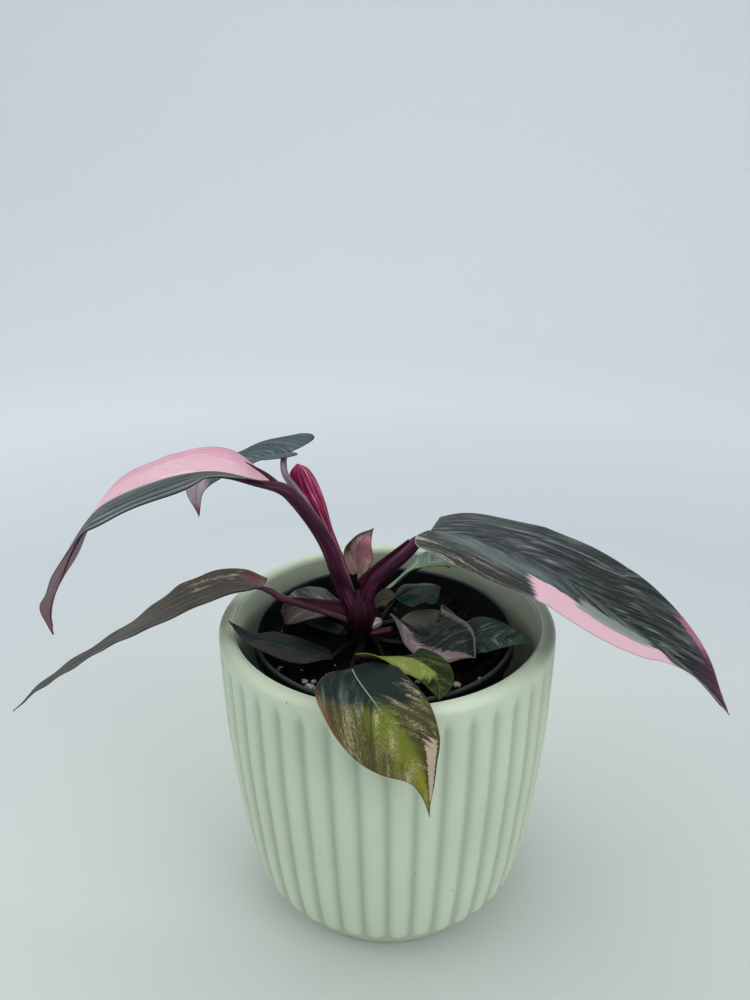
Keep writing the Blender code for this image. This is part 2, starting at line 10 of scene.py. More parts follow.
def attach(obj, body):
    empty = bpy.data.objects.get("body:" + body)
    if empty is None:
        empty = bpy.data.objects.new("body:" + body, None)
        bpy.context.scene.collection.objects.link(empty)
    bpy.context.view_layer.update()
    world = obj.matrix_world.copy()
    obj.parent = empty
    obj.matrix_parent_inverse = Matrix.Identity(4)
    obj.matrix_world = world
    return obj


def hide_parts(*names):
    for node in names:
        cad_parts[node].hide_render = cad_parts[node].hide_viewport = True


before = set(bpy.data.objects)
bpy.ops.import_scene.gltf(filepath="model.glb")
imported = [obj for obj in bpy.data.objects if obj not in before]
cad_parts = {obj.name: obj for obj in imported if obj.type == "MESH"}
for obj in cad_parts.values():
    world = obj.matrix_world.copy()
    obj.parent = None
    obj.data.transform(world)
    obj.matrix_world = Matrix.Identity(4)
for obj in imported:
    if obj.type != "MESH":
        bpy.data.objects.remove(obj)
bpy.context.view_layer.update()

MM = 0.001

# Cover pot: rows (radius, height) from the inner floor's centre round to the base, in mm.
POT_INNER = ((0, 7), (46, 7), (52, 13), (61, 55), (63.6, 105), (63.7, 128.6), (64.1, 130.4), (65, 131.3))
POT_LIP = ((66.5, 131.4), (68, 131.2), (69.1, 130.5), (69.8, 129.5), (70, 128.3))
POT_OUTER = (
    (70.1, 124), (70.1, 119), (69.3, 85), (66, 45), (63.7, 28), (62.3, 21), (61.6, 18.5),
    (60.9, 16), (60, 14), (57.5, 9), (53.5, 4), (51.6, 0.8), (50.6, 0),
)
POT_INNER_STEPS = 3
POT_OUTER_STEPS = 5
# Its ribs, in mm: how many, points round each, depth of the flutes, height of the ribs' round
# lower ends, where and over what height they fade out below the lip, and how flat their crests
# are. The nudge, an angle, keeps every point off the line where two ribs' sums meet.
POT_RIBS = 42
RIB_STEPS = 14
RIB_DEPTH = 1.6
RIB_END = 14.5
RIB_TOP = 127
RIB_FADE = 6
RIB_POWER = 2.4
SEAM_NUDGE = 1e-6

# Nursery pot: rows (radius, height), its place in the cover pot, and its floor's drain holes.
NURSERY = (
    (0, 8.8), (40, 8.8), (51.4, 118.5), (53.4, 120.5), (53.5, 124.5), (53.9, 125), (54.4, 125.2),
    (54.9, 124.9), (55.2, 124.3), (55.2, 119.6), (52.8, 118.4), (41, 7.3), (0, 7.3),
)
NURSERY_CENTRE = (-1.2, 1.2)
NURSERY_STEPS = 160
DRAINS = 4
DRAIN_CIRCLE = 27
DRAIN_RADIUS = 4
DRAIN_SPAN = (5, 12)
DRAIN_SIDES = 48

# Soil: the bed and its lumps, level beside the stem and at the wall, and the stem's hole.
SOIL_TOP = 116
SOIL_RADIUS = 50.9
SOIL_FOOT = (39.7, 9.1)
SOIL_RINGS = 92
SOIL_STEPS = 300
LUMP_HEIGHT = 1.1
LEVEL_BY_STEM = 8
LEVEL_BY_WALL = 5
STEM_HOLE = 5.9
STEM_HOLE_BOTTOM = 86
# The bed's grain: height in mm, waves per mm, layer of the noise.
BED_GRAIN = ((0.9, 0.45, 3), (0.6, 1.1, 7))
# Loose lumps: how many, least and greatest radius, material, seed.
CRUMBS = ((520, 0.5, 1.5, 0, 11), (60, 1.4, 2.8, 0, 23), (46, 0.35, 0.6, 1, 31))
CRUMB_CLEAR_OF_STEM = 7.5
CRUMB_CLEAR_OF_WALL = 0.8
CRUMB_SINK = 0.25
GRAIN_SINK = 0.3
# A lump's length, width and height, and how rough it is, as shares of its radius.
LUMP_SHAPE = (1, 0.85, 0.7)
LUMP_ROUGHNESS = 0.35
# Pale grains: x, y, radius.
GRAINS = (
    (-30, -34, 2.1), (-32.5, -28.5, 1.4), (-29, -28, 1.2), (-43, -20, 1.5), (27.5, -31, 1.7),
    (37, -26, 1.1), (-8, -39, 1.2), (12, -30, 1.1), (40, 5, 1.3), (-38, 24, 1.4), (5, 42, 1.2),
)

# Stem rows: x, y, z, radius.
STEM = (
    (-11.5, 0, 86.3, 4.8), (-11.5, 0, 100, 5.2), (-11.5, 0, 116, 5.5), (-11.5, 0, 124, 6.2),
    (-11.5, 0, 131, 7), (-11.5, 0, 136, 6.3), (-11.8, 0, 139.5, 4.6), (-12, 0, 141, 2.2),
)
# Cut stubs beside the stem.
STUBS = (
    ((-9, -1, 125, 2.4), (-5.5, -2, 127, 2.3), (-3.4, -2.4, 128.2, 2.0), (-2.2, -2.6, 128.8, 0.9)),
    ((-9, -2, 122.5, 1.8), (-3, -4, 124.3, 1.6), (1.6, -4.5, 125.5, 1.3), (2.8, -4.6, 125.9, 0.5)),
)
# Dry sheath left beside the stem's top: its free edge and its root.
SHEATH = (
    ((-5.5, 2.5, 134), (-2.5, 4.4, 138.6), (1.5, 4.8, 139.4), (4.2, 4.4, 137)),
    ((-6.2, 1.5, 129.5), (-5, 2.2, 131.5), (-3, 2.8, 132.6), (-0.5, 3, 132.6)),
)
# A dry strand standing up behind the stem.
STRAND = ((-15, 1.5, 132, 0.8), (-20, 2, 137, 0.6), (-24, 2, 148, 0.3))

# Bud sheath, flattened front to back about the plane y = BUD_Y.
BUD_Y = 11.5
BUD_FLAT = 0.6
BUD_STALK = (
    (-12.5, 4.5, 131.5, 1.9), (-14, 7.5, 134, 1.8), (-16.7, 11.5, 137.7, 1.8), (-19, 11.5, 146, 1.2),
)
# Rows of the bud: x, z, radius.
BUD = (
    (-16.7, 137.7, 1.8), (-18.8, 147.4, 1.7), (-21.3, 155, 1.7), (-24.4, 163.5, 2),
    (-26.8, 168.9, 3.1), (-28.9, 173.4, 4.3), (-31.3, 177.9, 5.4), (-33.4, 182.3, 5.9),
    (-34.9, 186.7, 5.5), (-35.9, 191, 3.8), (-36.5, 193.6, 0.5),
)

# Edge templates of half a blade: (distance along, distance out), as shares of length and width.
LOBE = ((-0.03, 0.05), (-0.09, 0.22), (-0.13, 0.48), (-0.06, 0.80))
PROFILE = (
    *LOBE, (0.10, 0.97), (0.30, 1), (0.52, 0.86), (0.72, 0.56), (0.86, 0.26), (0.94, 0.09), (1, 0),
)
HEART = (
    (-0.03, 0.06), (-0.08, 0.25), (-0.13, 0.6), (-0.08, 0.9), (0.06, 1), (0.26, 0.98),
    (0.5, 0.85), (0.7, 0.62), (0.84, 0.36), (0.93, 0.14), (1, 0),
)
BROAD = (
    *LOBE, (0.10, 0.97), (0.30, 1), (0.52, 0.94), (0.72, 0.74), (0.87, 0.42), (0.95, 0.16), (1, 0),
)
LANCE = (
    *LOBE, (0.10, 0.97), (0.28, 1), (0.50, 0.80), (0.70, 0.47), (0.85, 0.21), (0.94, 0.08), (1, 0),
)
DRAWN_OUT = (
    *LOBE, (0.08, 0.98), (0.26, 1), (0.46, 0.94), (0.64, 0.66), (0.78, 0.32), (0.90, 0.10), (1, 0),
)
ROUND_BASE = (
    (0.00, 0.05), (0.06, 0.16), (0.12, 0.33), (0.17, 0.53), (0.23, 0.76), (0.31, 0.95),
    (0.45, 0.95), (0.61, 0.62), (0.75, 0.24), (0.88, 0.08), (1, 0),
)
FULL_END = (
    (-0.03, 0.05), (-0.05, 0.20), (-0.04, 0.42), (0.02, 0.64), (0.12, 0.84), (0.27, 0.97),
    (0.46, 0.98), (0.64, 0.72), (0.78, 0.36), (0.90, 0.11), (1, 0),
)
NARROW_BASE = (
    (-0.03, 0.05), (-0.03, 0.15), (0.01, 0.27), (0.05, 0.42), (0.13, 0.68), (0.28, 0.96),
    (0.50, 0.88), (0.71, 0.58), (0.86, 0.26), (0.94, 0.09), (1, 0),
)

# Each leaf: "stalk" has rows of x, y, z and radius; "spine" has rows of x, y, z and the lean of
# the left and of the right half above level, in degrees. "left" points to the left half, seen from
# the stalk and from above. "widths", "lobes" and "edges" are for the left and the right half: its
# width, how far its lobe reaches back as a share of the template's, and the template. "curl" is
# the degrees by which a half bends up from rib to margin. "sweep" says how the side veins lean
# forward, at once and then ever more; "lengthwise" ones run beside the margin instead. "strips"
# are narrow lobes as rows of x, y, z and radius, and "wings" are sheaths: a free edge and a root.
LEAVES = {
    "leaf_upper_left": {
        "stalk": ((-12.8, -2, 130.5, 3.5), (-15, -2.2, 137, 3.5), (-18, -2, 145, 3.5),
                  (-20, -3.5, 152, 3.4), (-23.3, -5, 164, 3.3), (-28.2, -8, 175.5, 3.1),
                  (-35.2, -11, 187, 2.8), (-40.5, -13.3, 192.4, 2.3)),
        "spine": ((-47.1, -14.7, 195.9, 20, -17), (-65.7, -13.4, 199.3, 12, 4),
                  (-86.5, -16.6, 196.8, 2, 6), (-108, -15, 186.7, -2, 7),
                  (-120, -18, 171.7, -3, 3), (-129.2, -16.2, 155.3, 2, 2),
                  (-136.9, -13.5, 140.6, 7, 7), (-138.4, -11.2, 127, 5, 10)),
        "left": (0, -1, 0), "widths": (28.5, 28), "curl": -7.5, "lobes": (0.4, 0.1), "lengthwise": True,
        "edges": (NARROW_BASE, PROFILE),
        "strips": (((-35, -11, 186.5, 1.4), (-40.5, -12, 192.5, 1.1), (-45.5, -12.5, 197.5, 0.8),
                    (-53, -12.5, 202.5, 0.15)),),
    },
    "leaf_large_right": {
        "stalk": ((-9.5, -1.6, 135, 3.3), (-6, -1, 146, 3.3), (0.5, -0.5, 152.5, 3.2),
                  (7.5, 1.5, 158.2, 2.9), (13, 3.8, 162.6, 2.4)),
        "spine": ((18.3, 6.5, 166.6, -11, 13), (37.4, 2.5, 165.2, -4, 6), (55.1, -6.4, 161.3, 4, 2),
                  (71.1, -13.2, 154.5, 12, 0), (86.1, -22.7, 146, 20, -3),
                  (103.1, -28.2, 135.1, 24, 0), (117.8, -36, 124.6, 25, 2), (129.4, -42.5, 112.2, 27, 4)),
        "left": (0, 1, 0), "widths": (37, 40), "curl": -2, "lobes": (0, 0.2), "sweep": (2.4, 1.2),
        "edges": (BROAD, DRAWN_OUT),
        "wings": ((((-12.6, -2, 147.5), (-6, -1, 153.4), (0.5, 0, 158.4), (9, 2.5, 164.2)),
                   ((-9, -1.6, 141), (-5, -1, 147), (0.5, -0.5, 153), (9.5, 2.2, 159.6))),),
    },
    "leaf_lower_left": {
        "stalk": ((-14.5, -3, 129, 1.9), (-24, -3, 133, 1.7), (-36, -1.5, 136, 1.6),
                  (-45, -1.5, 139.5, 1.5), (-48.5, -2, 142.4, 1.4)),
        "spine": ((-51.5, -1.9, 145.5, 14, -28), (-66.5, -2.9, 144.2, 4, -10),
                  (-90.4, -5.1, 134.4, 1, -4), (-118.9, -3.3, 119, 1, -16),
                  (-145.5, -6.1, 102.8, -11, -10), (-165, -6.2, 85.2, -13, 4)),
        "left": (0, -1, 0), "widths": (17, 19.5), "curl": 23, "lobes": (0, 0), "lengthwise": True,
        "edges": (LANCE, LANCE),
        "wings": ((((-42, -1.5, 139.2), (-36, -1.5, 139.2), (-24, -3, 139), (-17, -3, 138.8)),
                   ((-42, -1.5, 138.3), (-36, -1.5, 136.2), (-24, -3, 133), (-17, -3, 130.5))),),
    },
    "leaf_small_back": {
        "stalk": ((-13.6, 2.6, 132, 1.7), (-15, 3.8, 138, 1.7), (-17, 4.2, 145, 1.7),
                  (-20, 4.2, 153, 1.7), (-24.5, 4.2, 162, 1.6), (-30, 4.2, 174, 1.6),
                  (-36, 4.6, 184, 1.5), (-41, 7.5, 190.4, 1.4), (-42.5, 15, 194, 1.3)),
        "spine": ((-41.4, 20.9, 195.8, 4, 13), (-52.5, 24.7, 193.2, 3, 9),
                  (-67.5, 24.5, 188, -3, 10), (-81.1, 23.3, 180.7, -38, 50),
                  (-82.5, 23.5, 165.3, -63, 73)),
        "left": (0, -1, 0), "widths": (10.5, 14), "curl": 4, "lobes": (1, 1.2), "edges": (HEART, HEART),
    },
    "leaf_crumpled": {
        "stalk": ((-9, 4.5, 129.5, 1.3), (-9, 9, 132, 1.2), (-10, 13, 136, 1.1),
                  (-12, 15.5, 140, 0.9)),
        "spine": ((-12.4, 16, 142.4, -22, 58), (-13, 18, 149.5, -8, 44),
                  (-11, 15.7, 157.2, 8, 28), (-5.6, 16, 163, 20, 16)),
        "left": (-1, 0, 0), "widths": (6, 9), "lobes": (0.5, 0.5),
    },
    "leaf_front": {
        "stalk": ((-10, -3.5, 120.5, 1.9), (-10.5, -12, 121.8, 1.8), (-11.5, -24, 124.8, 1.7),
                  (-12.5, -35, 128, 1.6)),
        "spine": ((-12.9, -42.4, 132, 10, 13), (-9.7, -55.4, 135.3, 8, 20),
                  (-1.3, -72.2, 134.3, -6, 20), (6.7, -80.6, 126.1, -14, 28),
                  (12.4, -81.1, 112, -21, 31), (14.5, -82.2, 99.9, -15, 28)),
        "left": (1, 0, 0), "widths": (16.5, 22), "curl": 3, "lobes": (0.4, 1),
        "edges": (FULL_END, ROUND_BASE),
    },
    "leaf_front_small": {
        "stalk": ((-7.4, -2.6, 122.6, 1.4), (-4.2, -8, 122.2, 1.3), (-3, -14, 122.4, 1.2)),
        "spine": ((-1.3, -23.3, 125.1, -38, 12), (6.1, -31.1, 129.7, -26, 11),
                  (14.5, -35.9, 128.1, -6, 7), (18.9, -43.9, 126.9, 6, 5),
                  (19, -53.2, 126.2, 1, -6)),
        "left": (1, 1, 0), "widths": (9.5, 16), "curl": 28, "lobes": (0.4, 0.2),
        "edges": (BROAD, PROFILE),
    },
    "leaf_right_cupped": {
        "stalk": ((-6.8, 1.2, 123, 1.4), (-1, 2.4, 124.4, 1.3), (4, 2.4, 125.6, 1.2)),
        "spine": ((5.7, -1.1, 128.2, 24, -1), (11.2, -12.7, 123.3, 28, 3),
                  (18.5, -16.2, 121.2, 29, -1), (29.4, -19.5, 123.6, 28, -10),
                  (34.5, -25.8, 126.1, 23, -8)),
        "left": (0, 1, 0), "widths": (23, 9), "curl": 23.5, "lobes": (0.8, 0.3),
        "edges": (BROAD, PROFILE),
    },
    "leaf_right_under": {
        "stalk": ((-6.6, -1.8, 119.6, 1.3), (2, -4.5, 119.6, 1.2), (12, -5.5, 119.8, 1.1)),
        "spine": ((24.8, -1, 118.5, 5, 10), (32.5, -4.9, 121.8, 10, 4),
                  (40.5, -14.3, 128.1, 13, 2), (55.6, -30.1, 136.2, 14, 2)),
        "left": (0, 1, 0), "widths": (10, 11), "curl": -1.5, "lobes": (0.3, 0.3),
    },
    "leaf_back_right": {
        "stalk": ((-7.2, 2.6, 120, 1.3), (-3, 6.5, 122.5, 1.2), (0, 10, 126, 1.1)),
        "spine": ((4.2, 14.6, 130.4, -1, 16), (10.7, 19.2, 132, 4, 17), (17.5, 24, 130.8, -3, 5),
                  (25.2, 29.8, 128.2, -2, -7)),
        "left": (0, 1, 0), "widths": (9.5, 13.5), "curl": -42, "lobes": (0.5, 0.5),
    },
    "leaf_back_tall": {
        "stalk": ((-7.6, 2.6, 130, 1.3), (-5, 7.5, 131.5, 1.2), (-2, 13, 133.6, 1.1)),
        "spine": ((2.3, 17.1, 134.5, -8, 26), (10.3, 22, 139.7, -12, 25),
                  (18.6, 26.7, 141.9, -2, 13), (25.4, 36.2, 138.9, 7, 8),
                  (37.1, 42.7, 130.8, 10, 6)),
        "left": (0, 1, 0), "widths": (7, 10), "curl": -2.5, "lobes": (0.5, 0.5),
    },
    "leaf_left_streaked": {
        "stalk": ((-14.5, -4.6, 119.6, 1.4), (-17.5, -10, 120, 1.3), (-20.5, -15.5, 120.8, 1.2)),
        "spine": ((-22.6, -18.3, 122.1, 28, -19), (-34.8, -18.8, 125.3, 12, -6),
                  (-45.7, -21.4, 130.5, 7, -5), (-54.6, -21.6, 132.5, 11, -4),
                  (-62.4, -20.1, 139.2, 7, 6)),
        "left": (0, -1, 0), "widths": (14, 9), "lobes": (0, 0),
    },
    "leaf_left_back": {
        "stalk": ((-15.5, 3.4, 124.5, 1.4), (-18.5, 6.5, 126, 1.3)),
        "spine": ((-22, 11, 126.9, 20, -14), (-32.4, 13, 127.8, 5, -2),
                  (-42.4, 15.9, 125.1, -15, 15), (-48.8, 21.8, 120.1, -26, 28)),
        "left": (0, -1, 0), "widths": (14.5, 17.5), "curl": -7, "lobes": (0.6, 0.6),
    },
    "leaf_sprout": {
        "stalk": ((-15.8, 1.4, 119.3, 1.1), (-18, 2.4, 119.8, 1)),
        "spine": ((-20, 3, 120.6, 13, 3), (-26, 4.4, 122, 13, 3), (-31, 6.5, 122.2, 13, 3),
                  (-36.5, 9, 121, 13, 3)),
        "left": (0, -1, 0), "widths": (5.5, 4.5), "lobes": (0.4, 0.4),
    },
}

# Blade sheet, in mm: thickness inside and at the margin, least half width, and mesh steps.
BLADE = 0.55
MARGIN = 0.3
LEAST_HALF = 0.12
STEP_ALONG = 0.9
STEP_ACROSS = 0.85
SPINE_STEPS = 40
EDGE_STEPS = 24
ROW_POWER = 1.25
# How the side veins lean where a leaf doesn't say, and the scale that spaces them in mm.
VEIN_SWEEP = (1.1, 0.9)
VEIN_SCALE = 1.5

# Relief of the blade, in mm: pleats between the side veins, which are wider on a wide leaf, the
# groove over the midrib, and the waves of the margin, which are longer on a wide leaf.
PLEAT_HEIGHT = 0.1
PLEAT_WIDTH = 2.2
GROOVE_DEPTH = 0.35
GROOVE_WIDTH = 0.9
WAVE_HEIGHT = 0.35
WAVE_LENGTH = 9

# The stalk goes on under the blade as a ridge, from a share of the stalk's radius to its least.
RIDGE_SPAN = (0.02, 0.97)
RIDGE_ROWS = 14
RIDGE_SINK = 0.5
RIDGE_START = 0.5
RIDGE_LEAST = 0.22
RIDGE_POWER = 1.2
STALK_SIDES = 28
# Lengthwise ribs round a stalk: how many, share of the relief, turn.
STALK_RIBS = ((9, 0.6, 0), (4, 1, 1))

# Sheath wing, in mm: mesh steps, bulge, half thickness at the edge and added at the root, width.
WING_STEPS = 8
WING_BULGE = 0.5
WING_EDGE = 0.15
WING_ROOT = 0.2
WING_WIDTH = 8

# Each leaf's colours. "ground" runs from the darkest to the palest green; "flecks" are the fine
# pale streaks along the veins (colour, strength, threshold from 0 to 1); "veins" the side veins
# (colour, spacing in mm, strength); "rib" the midrib line (colour, strength, how far along it
# fades); "edge" the margin line and "under" the tint of the underside (colour, strength); "stalk"
# the tones of its stalk. A sector of another colour is (colour, from and to along the leaf, from
# and to across it, slant, softness, raggedness, grain, strength): along runs 0 to 1 from base to
# tip and slants back towards the margins, across runs from -1 at the right margin to 1 at the left
# one, and a grain in mm breaks the sector up into specks.
LOOKS = {
    "leaf_upper_left": {
        # Partly painted sheen: this leaf's pale grey ground stands for its dark green near half seen at a
        # grazing angle, reflecting the pale room.
        "ground": ("18211f", "51605c", "97a29f"), "flecks": ("a7b1b0", 0.35, 0.6),
        "veins": ("0a1111", 5.2, 0.95), "rib": ("4a1f33", 0.6, 0.12), "edge": ("2a1a22", 0.75),
        "under": ("94787f", 0.85), "stalk": "purple",
        "sectors": (("dfb3be", -0.4, 0.6, -1.2, 0.13, -0.12, 0.012, 0.03, 0, 1),
                    ("cb7f98", -0.4, 0.6, -1.3, -0.6, 0, 0.16, 0.2, 0, 0.55),
                    ("efd6da", -0.4, 0.55, -0.9, 0.05, 0, 0.06, 0.2, 2.2, 0.45),
                    ("a98f96", 0.6, 1.2, 0, 1.2, 0, 0.05, 0.1, 0, 0.6),
                    ("c28a9c", 0.6, 1.2, -0.5, 0.25, 0, 0.05, 0.05, 0, 0.7),
                    ("8d2a56", 0.95, 1.3, -1.2, 1.2, 0, 0.03, 0.03, 0, 0.9)),
    },
    "leaf_large_right": {
        "ground": ("080f0e", "14201d", "3b4743"), "flecks": ("c2c8c5", 0.6, 0.58),
        "veins": ("6f7a77", 3.4, 0.12), "rib": ("4b5855", 0.4, 0.9), "edge": ("b9aaa4", 0.5),
        "under": ("4d2b3a", 0.75), "stalk": "purple",
        # The first sector is a painted sheen: a pale grey band along the midrib of the near half.
        "sectors": (("75827f", -0.3, 0.4, -0.5, -0.22, 0, 0.08, 0.3, 0, 0.5),
                    ("23221a", -0.4, 0.36, -1.2, -0.66, -0.05, 0.05, 0.12, 0, 0.8),
                    ("c9c1a8", -0.2, 0.36, -1.2, -0.6, -0.1, 0.04, 0.1, 0.5, 0.8),
                    ("e2b7c2", 0.283, 0.7, -1.2, -0.47, 0.088, 0.006, 0.05, 0, 1),
                    ("84908a", 0.5, 0.7, -0.58, -0.28, 0, 0.01, 0.05, 0, 0.9),
                    ("b8708a", 0.76, 0.88, 0.86, 1.2, 0, 0.01, 0.12, 0, 0.75),
                    ("41192f", 0.86, 1.2, 0.3, 1.3, 0, 0.03, 0.1, 0, 0.8),
                    ("43202f", 0.93, 1.3, -1.2, 1.2, 0, 0.04, 0.08, 0, 0.9)),
    },
    "leaf_lower_left": {
        "ground": ("1f1e17", "49483c", "8c8d80"), "flecks": ("b3b1a9", 0.45, 0.6),
        "veins": ("14100e", 4.8, 0.9), "rib": ("2a1512", 0.85, 0.9), "edge": ("2d211d", 0.75),
        "under": ("75645f", 0.7), "stalk": "red",
        "sectors": (("554d3b", -0.4, 0.62, -1.2, -0.02, 0, 0.12, 0.2, 0, 0.55),
                    ("454230", -0.4, 0.3, 0, 1.2, 0, 0.1, 0.1, 0, 0.7),
                    ("c9bd9d", 0.04, 0.3, -1, -0.45, 0, 0.05, 0.1, 1.4, 0.75),
                    ("6a2a26", -0.4, 0.07, -1.2, -0.6, 0, 0.03, 0.05, 0, 0.8)),
    },
    "leaf_small_back": {
        "ground": ("2f4042", "4c5e60", "6e7e80"), "flecks": ("9eaaab", 0.4, 0.6),
        "veins": ("172326", 3.4, 0.7), "rib": ("1c2a2f", 0.7, 0.9), "edge": ("28363a", 0.5),
        "under": ("9b9599", 0.7), "stalk": "grey",
        "sectors": (("cdbcc2", 0.66, 1.2, -1.2, 1.2, 0, 0.06, 0.05, 0, 0.85),
                    ("a8405f", 0.91, 1.2, -1.2, 1.2, 0, 0.04, 0.03, 0, 0.9)),
    },
    "leaf_crumpled": {
        "ground": ("b9968a", "d3b9aa", "e9d9cb"), "flecks": ("f0e2d6", 0.5, 0.58),
        "veins": ("95625c", 2.6, 0.35), "rib": ("a06a70", 0.5, 1), "edge": ("4f4a2a", 0.8),
        "under": ("c09d90", 0.6), "stalk": "cream",
        "sectors": (("cf8b97", 0.2, 1.2, -1.2, 0.15, 0, 0.12, 0.2, 0, 0.8),
                    ("565430", 0.3, 1.2, 0.62, 1.3, 0, 0.1, 0.2, 0, 0.85),
                    ("5b5630", 0.88, 1.2, -1.2, 1.3, 0, 0.05, 0.2, 0, 0.7)),
    },
    "leaf_front": {
        "ground": ("2e3016", "494b20", "6a6a2e"), "flecks": ("c4bb84", 0.35, 0.62),
        "veins": ("8f8d4f", 4, 0.04), "rib": ("a9b8a2", 0.85, 0.4), "edge": ("6a4a30", 0.55),
        "under": ("5a5638", 0.6), "stalk": "dark",
        "sectors": (("4d4726", 0.3, 1, -1.2, -0.55, 0, 0.14, 0.25, 0, 0.6),
                    ("3d3721", 0.3, 0.9, 0.3, 0.85, 0, 0.12, 0.15, 0, 0.6),
                    ("15231f", -0.5, 0.4, -1.3, 0.02, -0.07, 0.018, 0.07, 0, 1),
                    ("172520", -0.5, 0.385, 0, 1.3, 0.09, 0.018, 0.07, 0, 1),
                    ("707b24", 0.4, 0.95, -0.34, 0.18, 0, 0.08, 0.3, 0, 0.75),
                    ("a89f35", 0.7, 1.05, -0.9, 0.3, 0, 0.12, 0.2, 0, 0.45),
                    ("1d2410", 0.36, 1, -1.2, 1.2, 0, 0.05, 0.1, 0.45, 0.6),
                    ("d6cc9c", 0.38, 0.95, -1.2, 0.9, 0, 0.04, 0.1, 0.26, 0.65),
                    ("93a08f", 0.02, 0.42, -1.2, -0.15, 0, 0.06, 0.1, 0.28, 0.45),
                    ("cbb79f", 0.64, 0.92, 0.5, 0.9, 0, 0.015, 0.16, 0, 0.85),
                    ("c5b79a", 0.29, 0.48, 0.6, 0.95, 0, 0.02, 0.1, 0.6, 0.8),
                    ("7c4a34", 0.3, 0.5, -1.3, -0.93, 0, 0.04, 0.1, 0, 0.5),
                    ("3d1f14", 0.7, 0.82, 0.8, 1.3, 0, 0.02, 0.1, 0.8, 0.9)),
    },
    "leaf_front_small": {
        "ground": ("0b1409", "1c2a10", "44551f"), "flecks": ("8c9c5c", 0.4, 0.62),
        "veins": ("4f6034", 2.6, 0.2), "rib": ("6c7a3e", 0.4, 1), "edge": ("55652f", 0.4),
        "under": ("48562f", 0.5), "stalk": "dark",
        "sectors": (("9aa84c", -0.4, 0.7, -1.3, 0.16, 0, 0.05, 0.25, 0, 0.8),
                    ("c3cd98", -0.1, 0.62, -1, 0.1, 0, 0.06, 0.2, 1.4, 0.6),
                    ("5f6e2c", 0.1, 1.1, 0.1, 1.2, 0, 0.06, 0.2, 1, 0.7)),
    },
    "leaf_right_cupped": {
        "ground": ("141c18", "28312a", "474f46"), "flecks": ("8f8c85", 0.45, 0.61),
        "veins": ("5d605a", 2.6, 0.15), "rib": ("6f5f5c", 0.4, 1), "edge": ("8f8b84", 0.5),
        "under": ("5d5650", 0.6), "stalk": "dark",
        "sectors": (("8d8a80", 0, 1.1, 0.9, 1.3, 0, 0.03, 0.12, 0, 0.7),
                    ("8b867c", -0.3, 0.1, 0.3, 1.3, 0, 0.06, 0.2, 0, 0.5),
                    ("8e7f7a", -0.3, 1.2, -1.3, -0.5, 0, 0.06, 0.2, 0, 0.7),
                    ("a99196", -0.1, 0.97, -0.7, 0.1, 0, 0.04, 0.25, 0, 0.85),
                    ("d9ccce", 0, 0.92, -0.62, 0.12, 0, 0.05, 0.2, 0.5, 0.75),
                    ("a5a49c", 0.6, 0.92, 0.08, 0.6, 0, 0.05, 0.2, 0.7, 0.5)),
    },
    "leaf_right_under": {
        "ground": ("0b1c14", "1c3a2c", "41604f"), "flecks": ("b3bdb5", 0.8, 0.57),
        "veins": ("6b7c70", 2.2, 0.2), "rib": ("5f7265", 0.4, 1), "edge": ("4f6253", 0.3),
        "under": ("3d4c40", 0.5), "stalk": "dark", "sectors": (),
    },
    "leaf_back_right": {
        "ground": ("0e261c", "234a3e", "4a6c5b"), "flecks": ("7d978a", 0.5, 0.6),
        "veins": ("3f5f52", 3, 0.2), "rib": ("4b6f60", 0.3, 1), "edge": ("7d8750", 0.3),
        "under": ("3f4f40", 0.5), "stalk": "dark",
        "sectors": (("6f7f48", 0.45, 1.2, 0.2, 1.2, 0, 0.18, 0.2, 0, 0.7),
                    ("0c1610", 0.1, 1, -1.2, 1.2, 0, 0.05, 0.1, 1.2, 0.6)),
    },
    "leaf_back_tall": {
        "ground": ("557465", "7c9885", "a3b8a4"), "flecks": ("9fb3a2", 0.5, 0.6),
        "veins": ("6f8878", 3, 0.2), "rib": ("6c8a7a", 0.3, 1), "edge": ("6a7126", 0.6),
        "under": ("5f6430", 0.6), "stalk": "dark",
        "sectors": (("676d27", -0.4, 1.2, -1.3, -0.42, 0, 0.14, 0.14, 0, 0.85),),
    },
    "leaf_left_streaked": {
        "ground": ("0a120f", "16221d", "2d3a33"), "flecks": ("6d7a72", 0.5, 0.62),
        "veins": ("27342d", 2.6, 0.2), "rib": ("36443c", 0.3, 1), "edge": ("3a453e", 0.3),
        "under": ("3a4039", 0.5), "stalk": "dark",
        "sectors": (("43362f", 0.15, 0.72, 0.45, 0.95, 0, 0.05, 0.35, 0, 0.5),),
    },
    "leaf_left_back": {
        "ground": ("121817", "2a302e", "555a59"), "flecks": ("b4b4b4", 0.7, 0.56),
        "veins": ("7d7f80", 1.9, 0.35), "rib": ("5a5e5c", 0.4, 1), "edge": ("7d7b7d", 0.4),
        "under": ("4a4440", 0.5), "stalk": "dark",
        "sectors": (("5b463e", -0.3, 1.2, 0.25, 1.2, 0, 0.08, 0.2, 0, 0.7),
                    ("97817f", 0.1, 1, 0.3, 1, 0, 0.08, 0.2, 1, 0.5)),
    },
    "leaf_sprout": {
        "ground": ("09140f", "152723", "2b423b"), "flecks": ("5d7767", 0.4, 0.62),
        "veins": ("274039", 2, 0.2), "rib": ("36524a", 0.3, 1), "edge": ("30483f", 0.3),
        "under": ("2c3a32", 0.5), "stalk": "dark", "sectors": (),
    },
}
# Stalk flesh: darkest, middle and palest streak.
STALK_TONES = {
    "purple": ("1b0612", "48152f", "8a4a70"),
    "red": ("26101a", "582838", "8f5a70"),
    "grey": ("54454d", "857280", "b3a8b0"),
    "cream": ("a58a7a", "cdb5a2", "e6d6c6"),
    "dry": ("3d382d", "6e6655", "a59c87"),
    # The dark tone is near black partly as painted shade: it is for the low stalks in the shade under the
    # leaves near the soil.
    "dark": ("030202", "0c0808", "241a1e"),
}
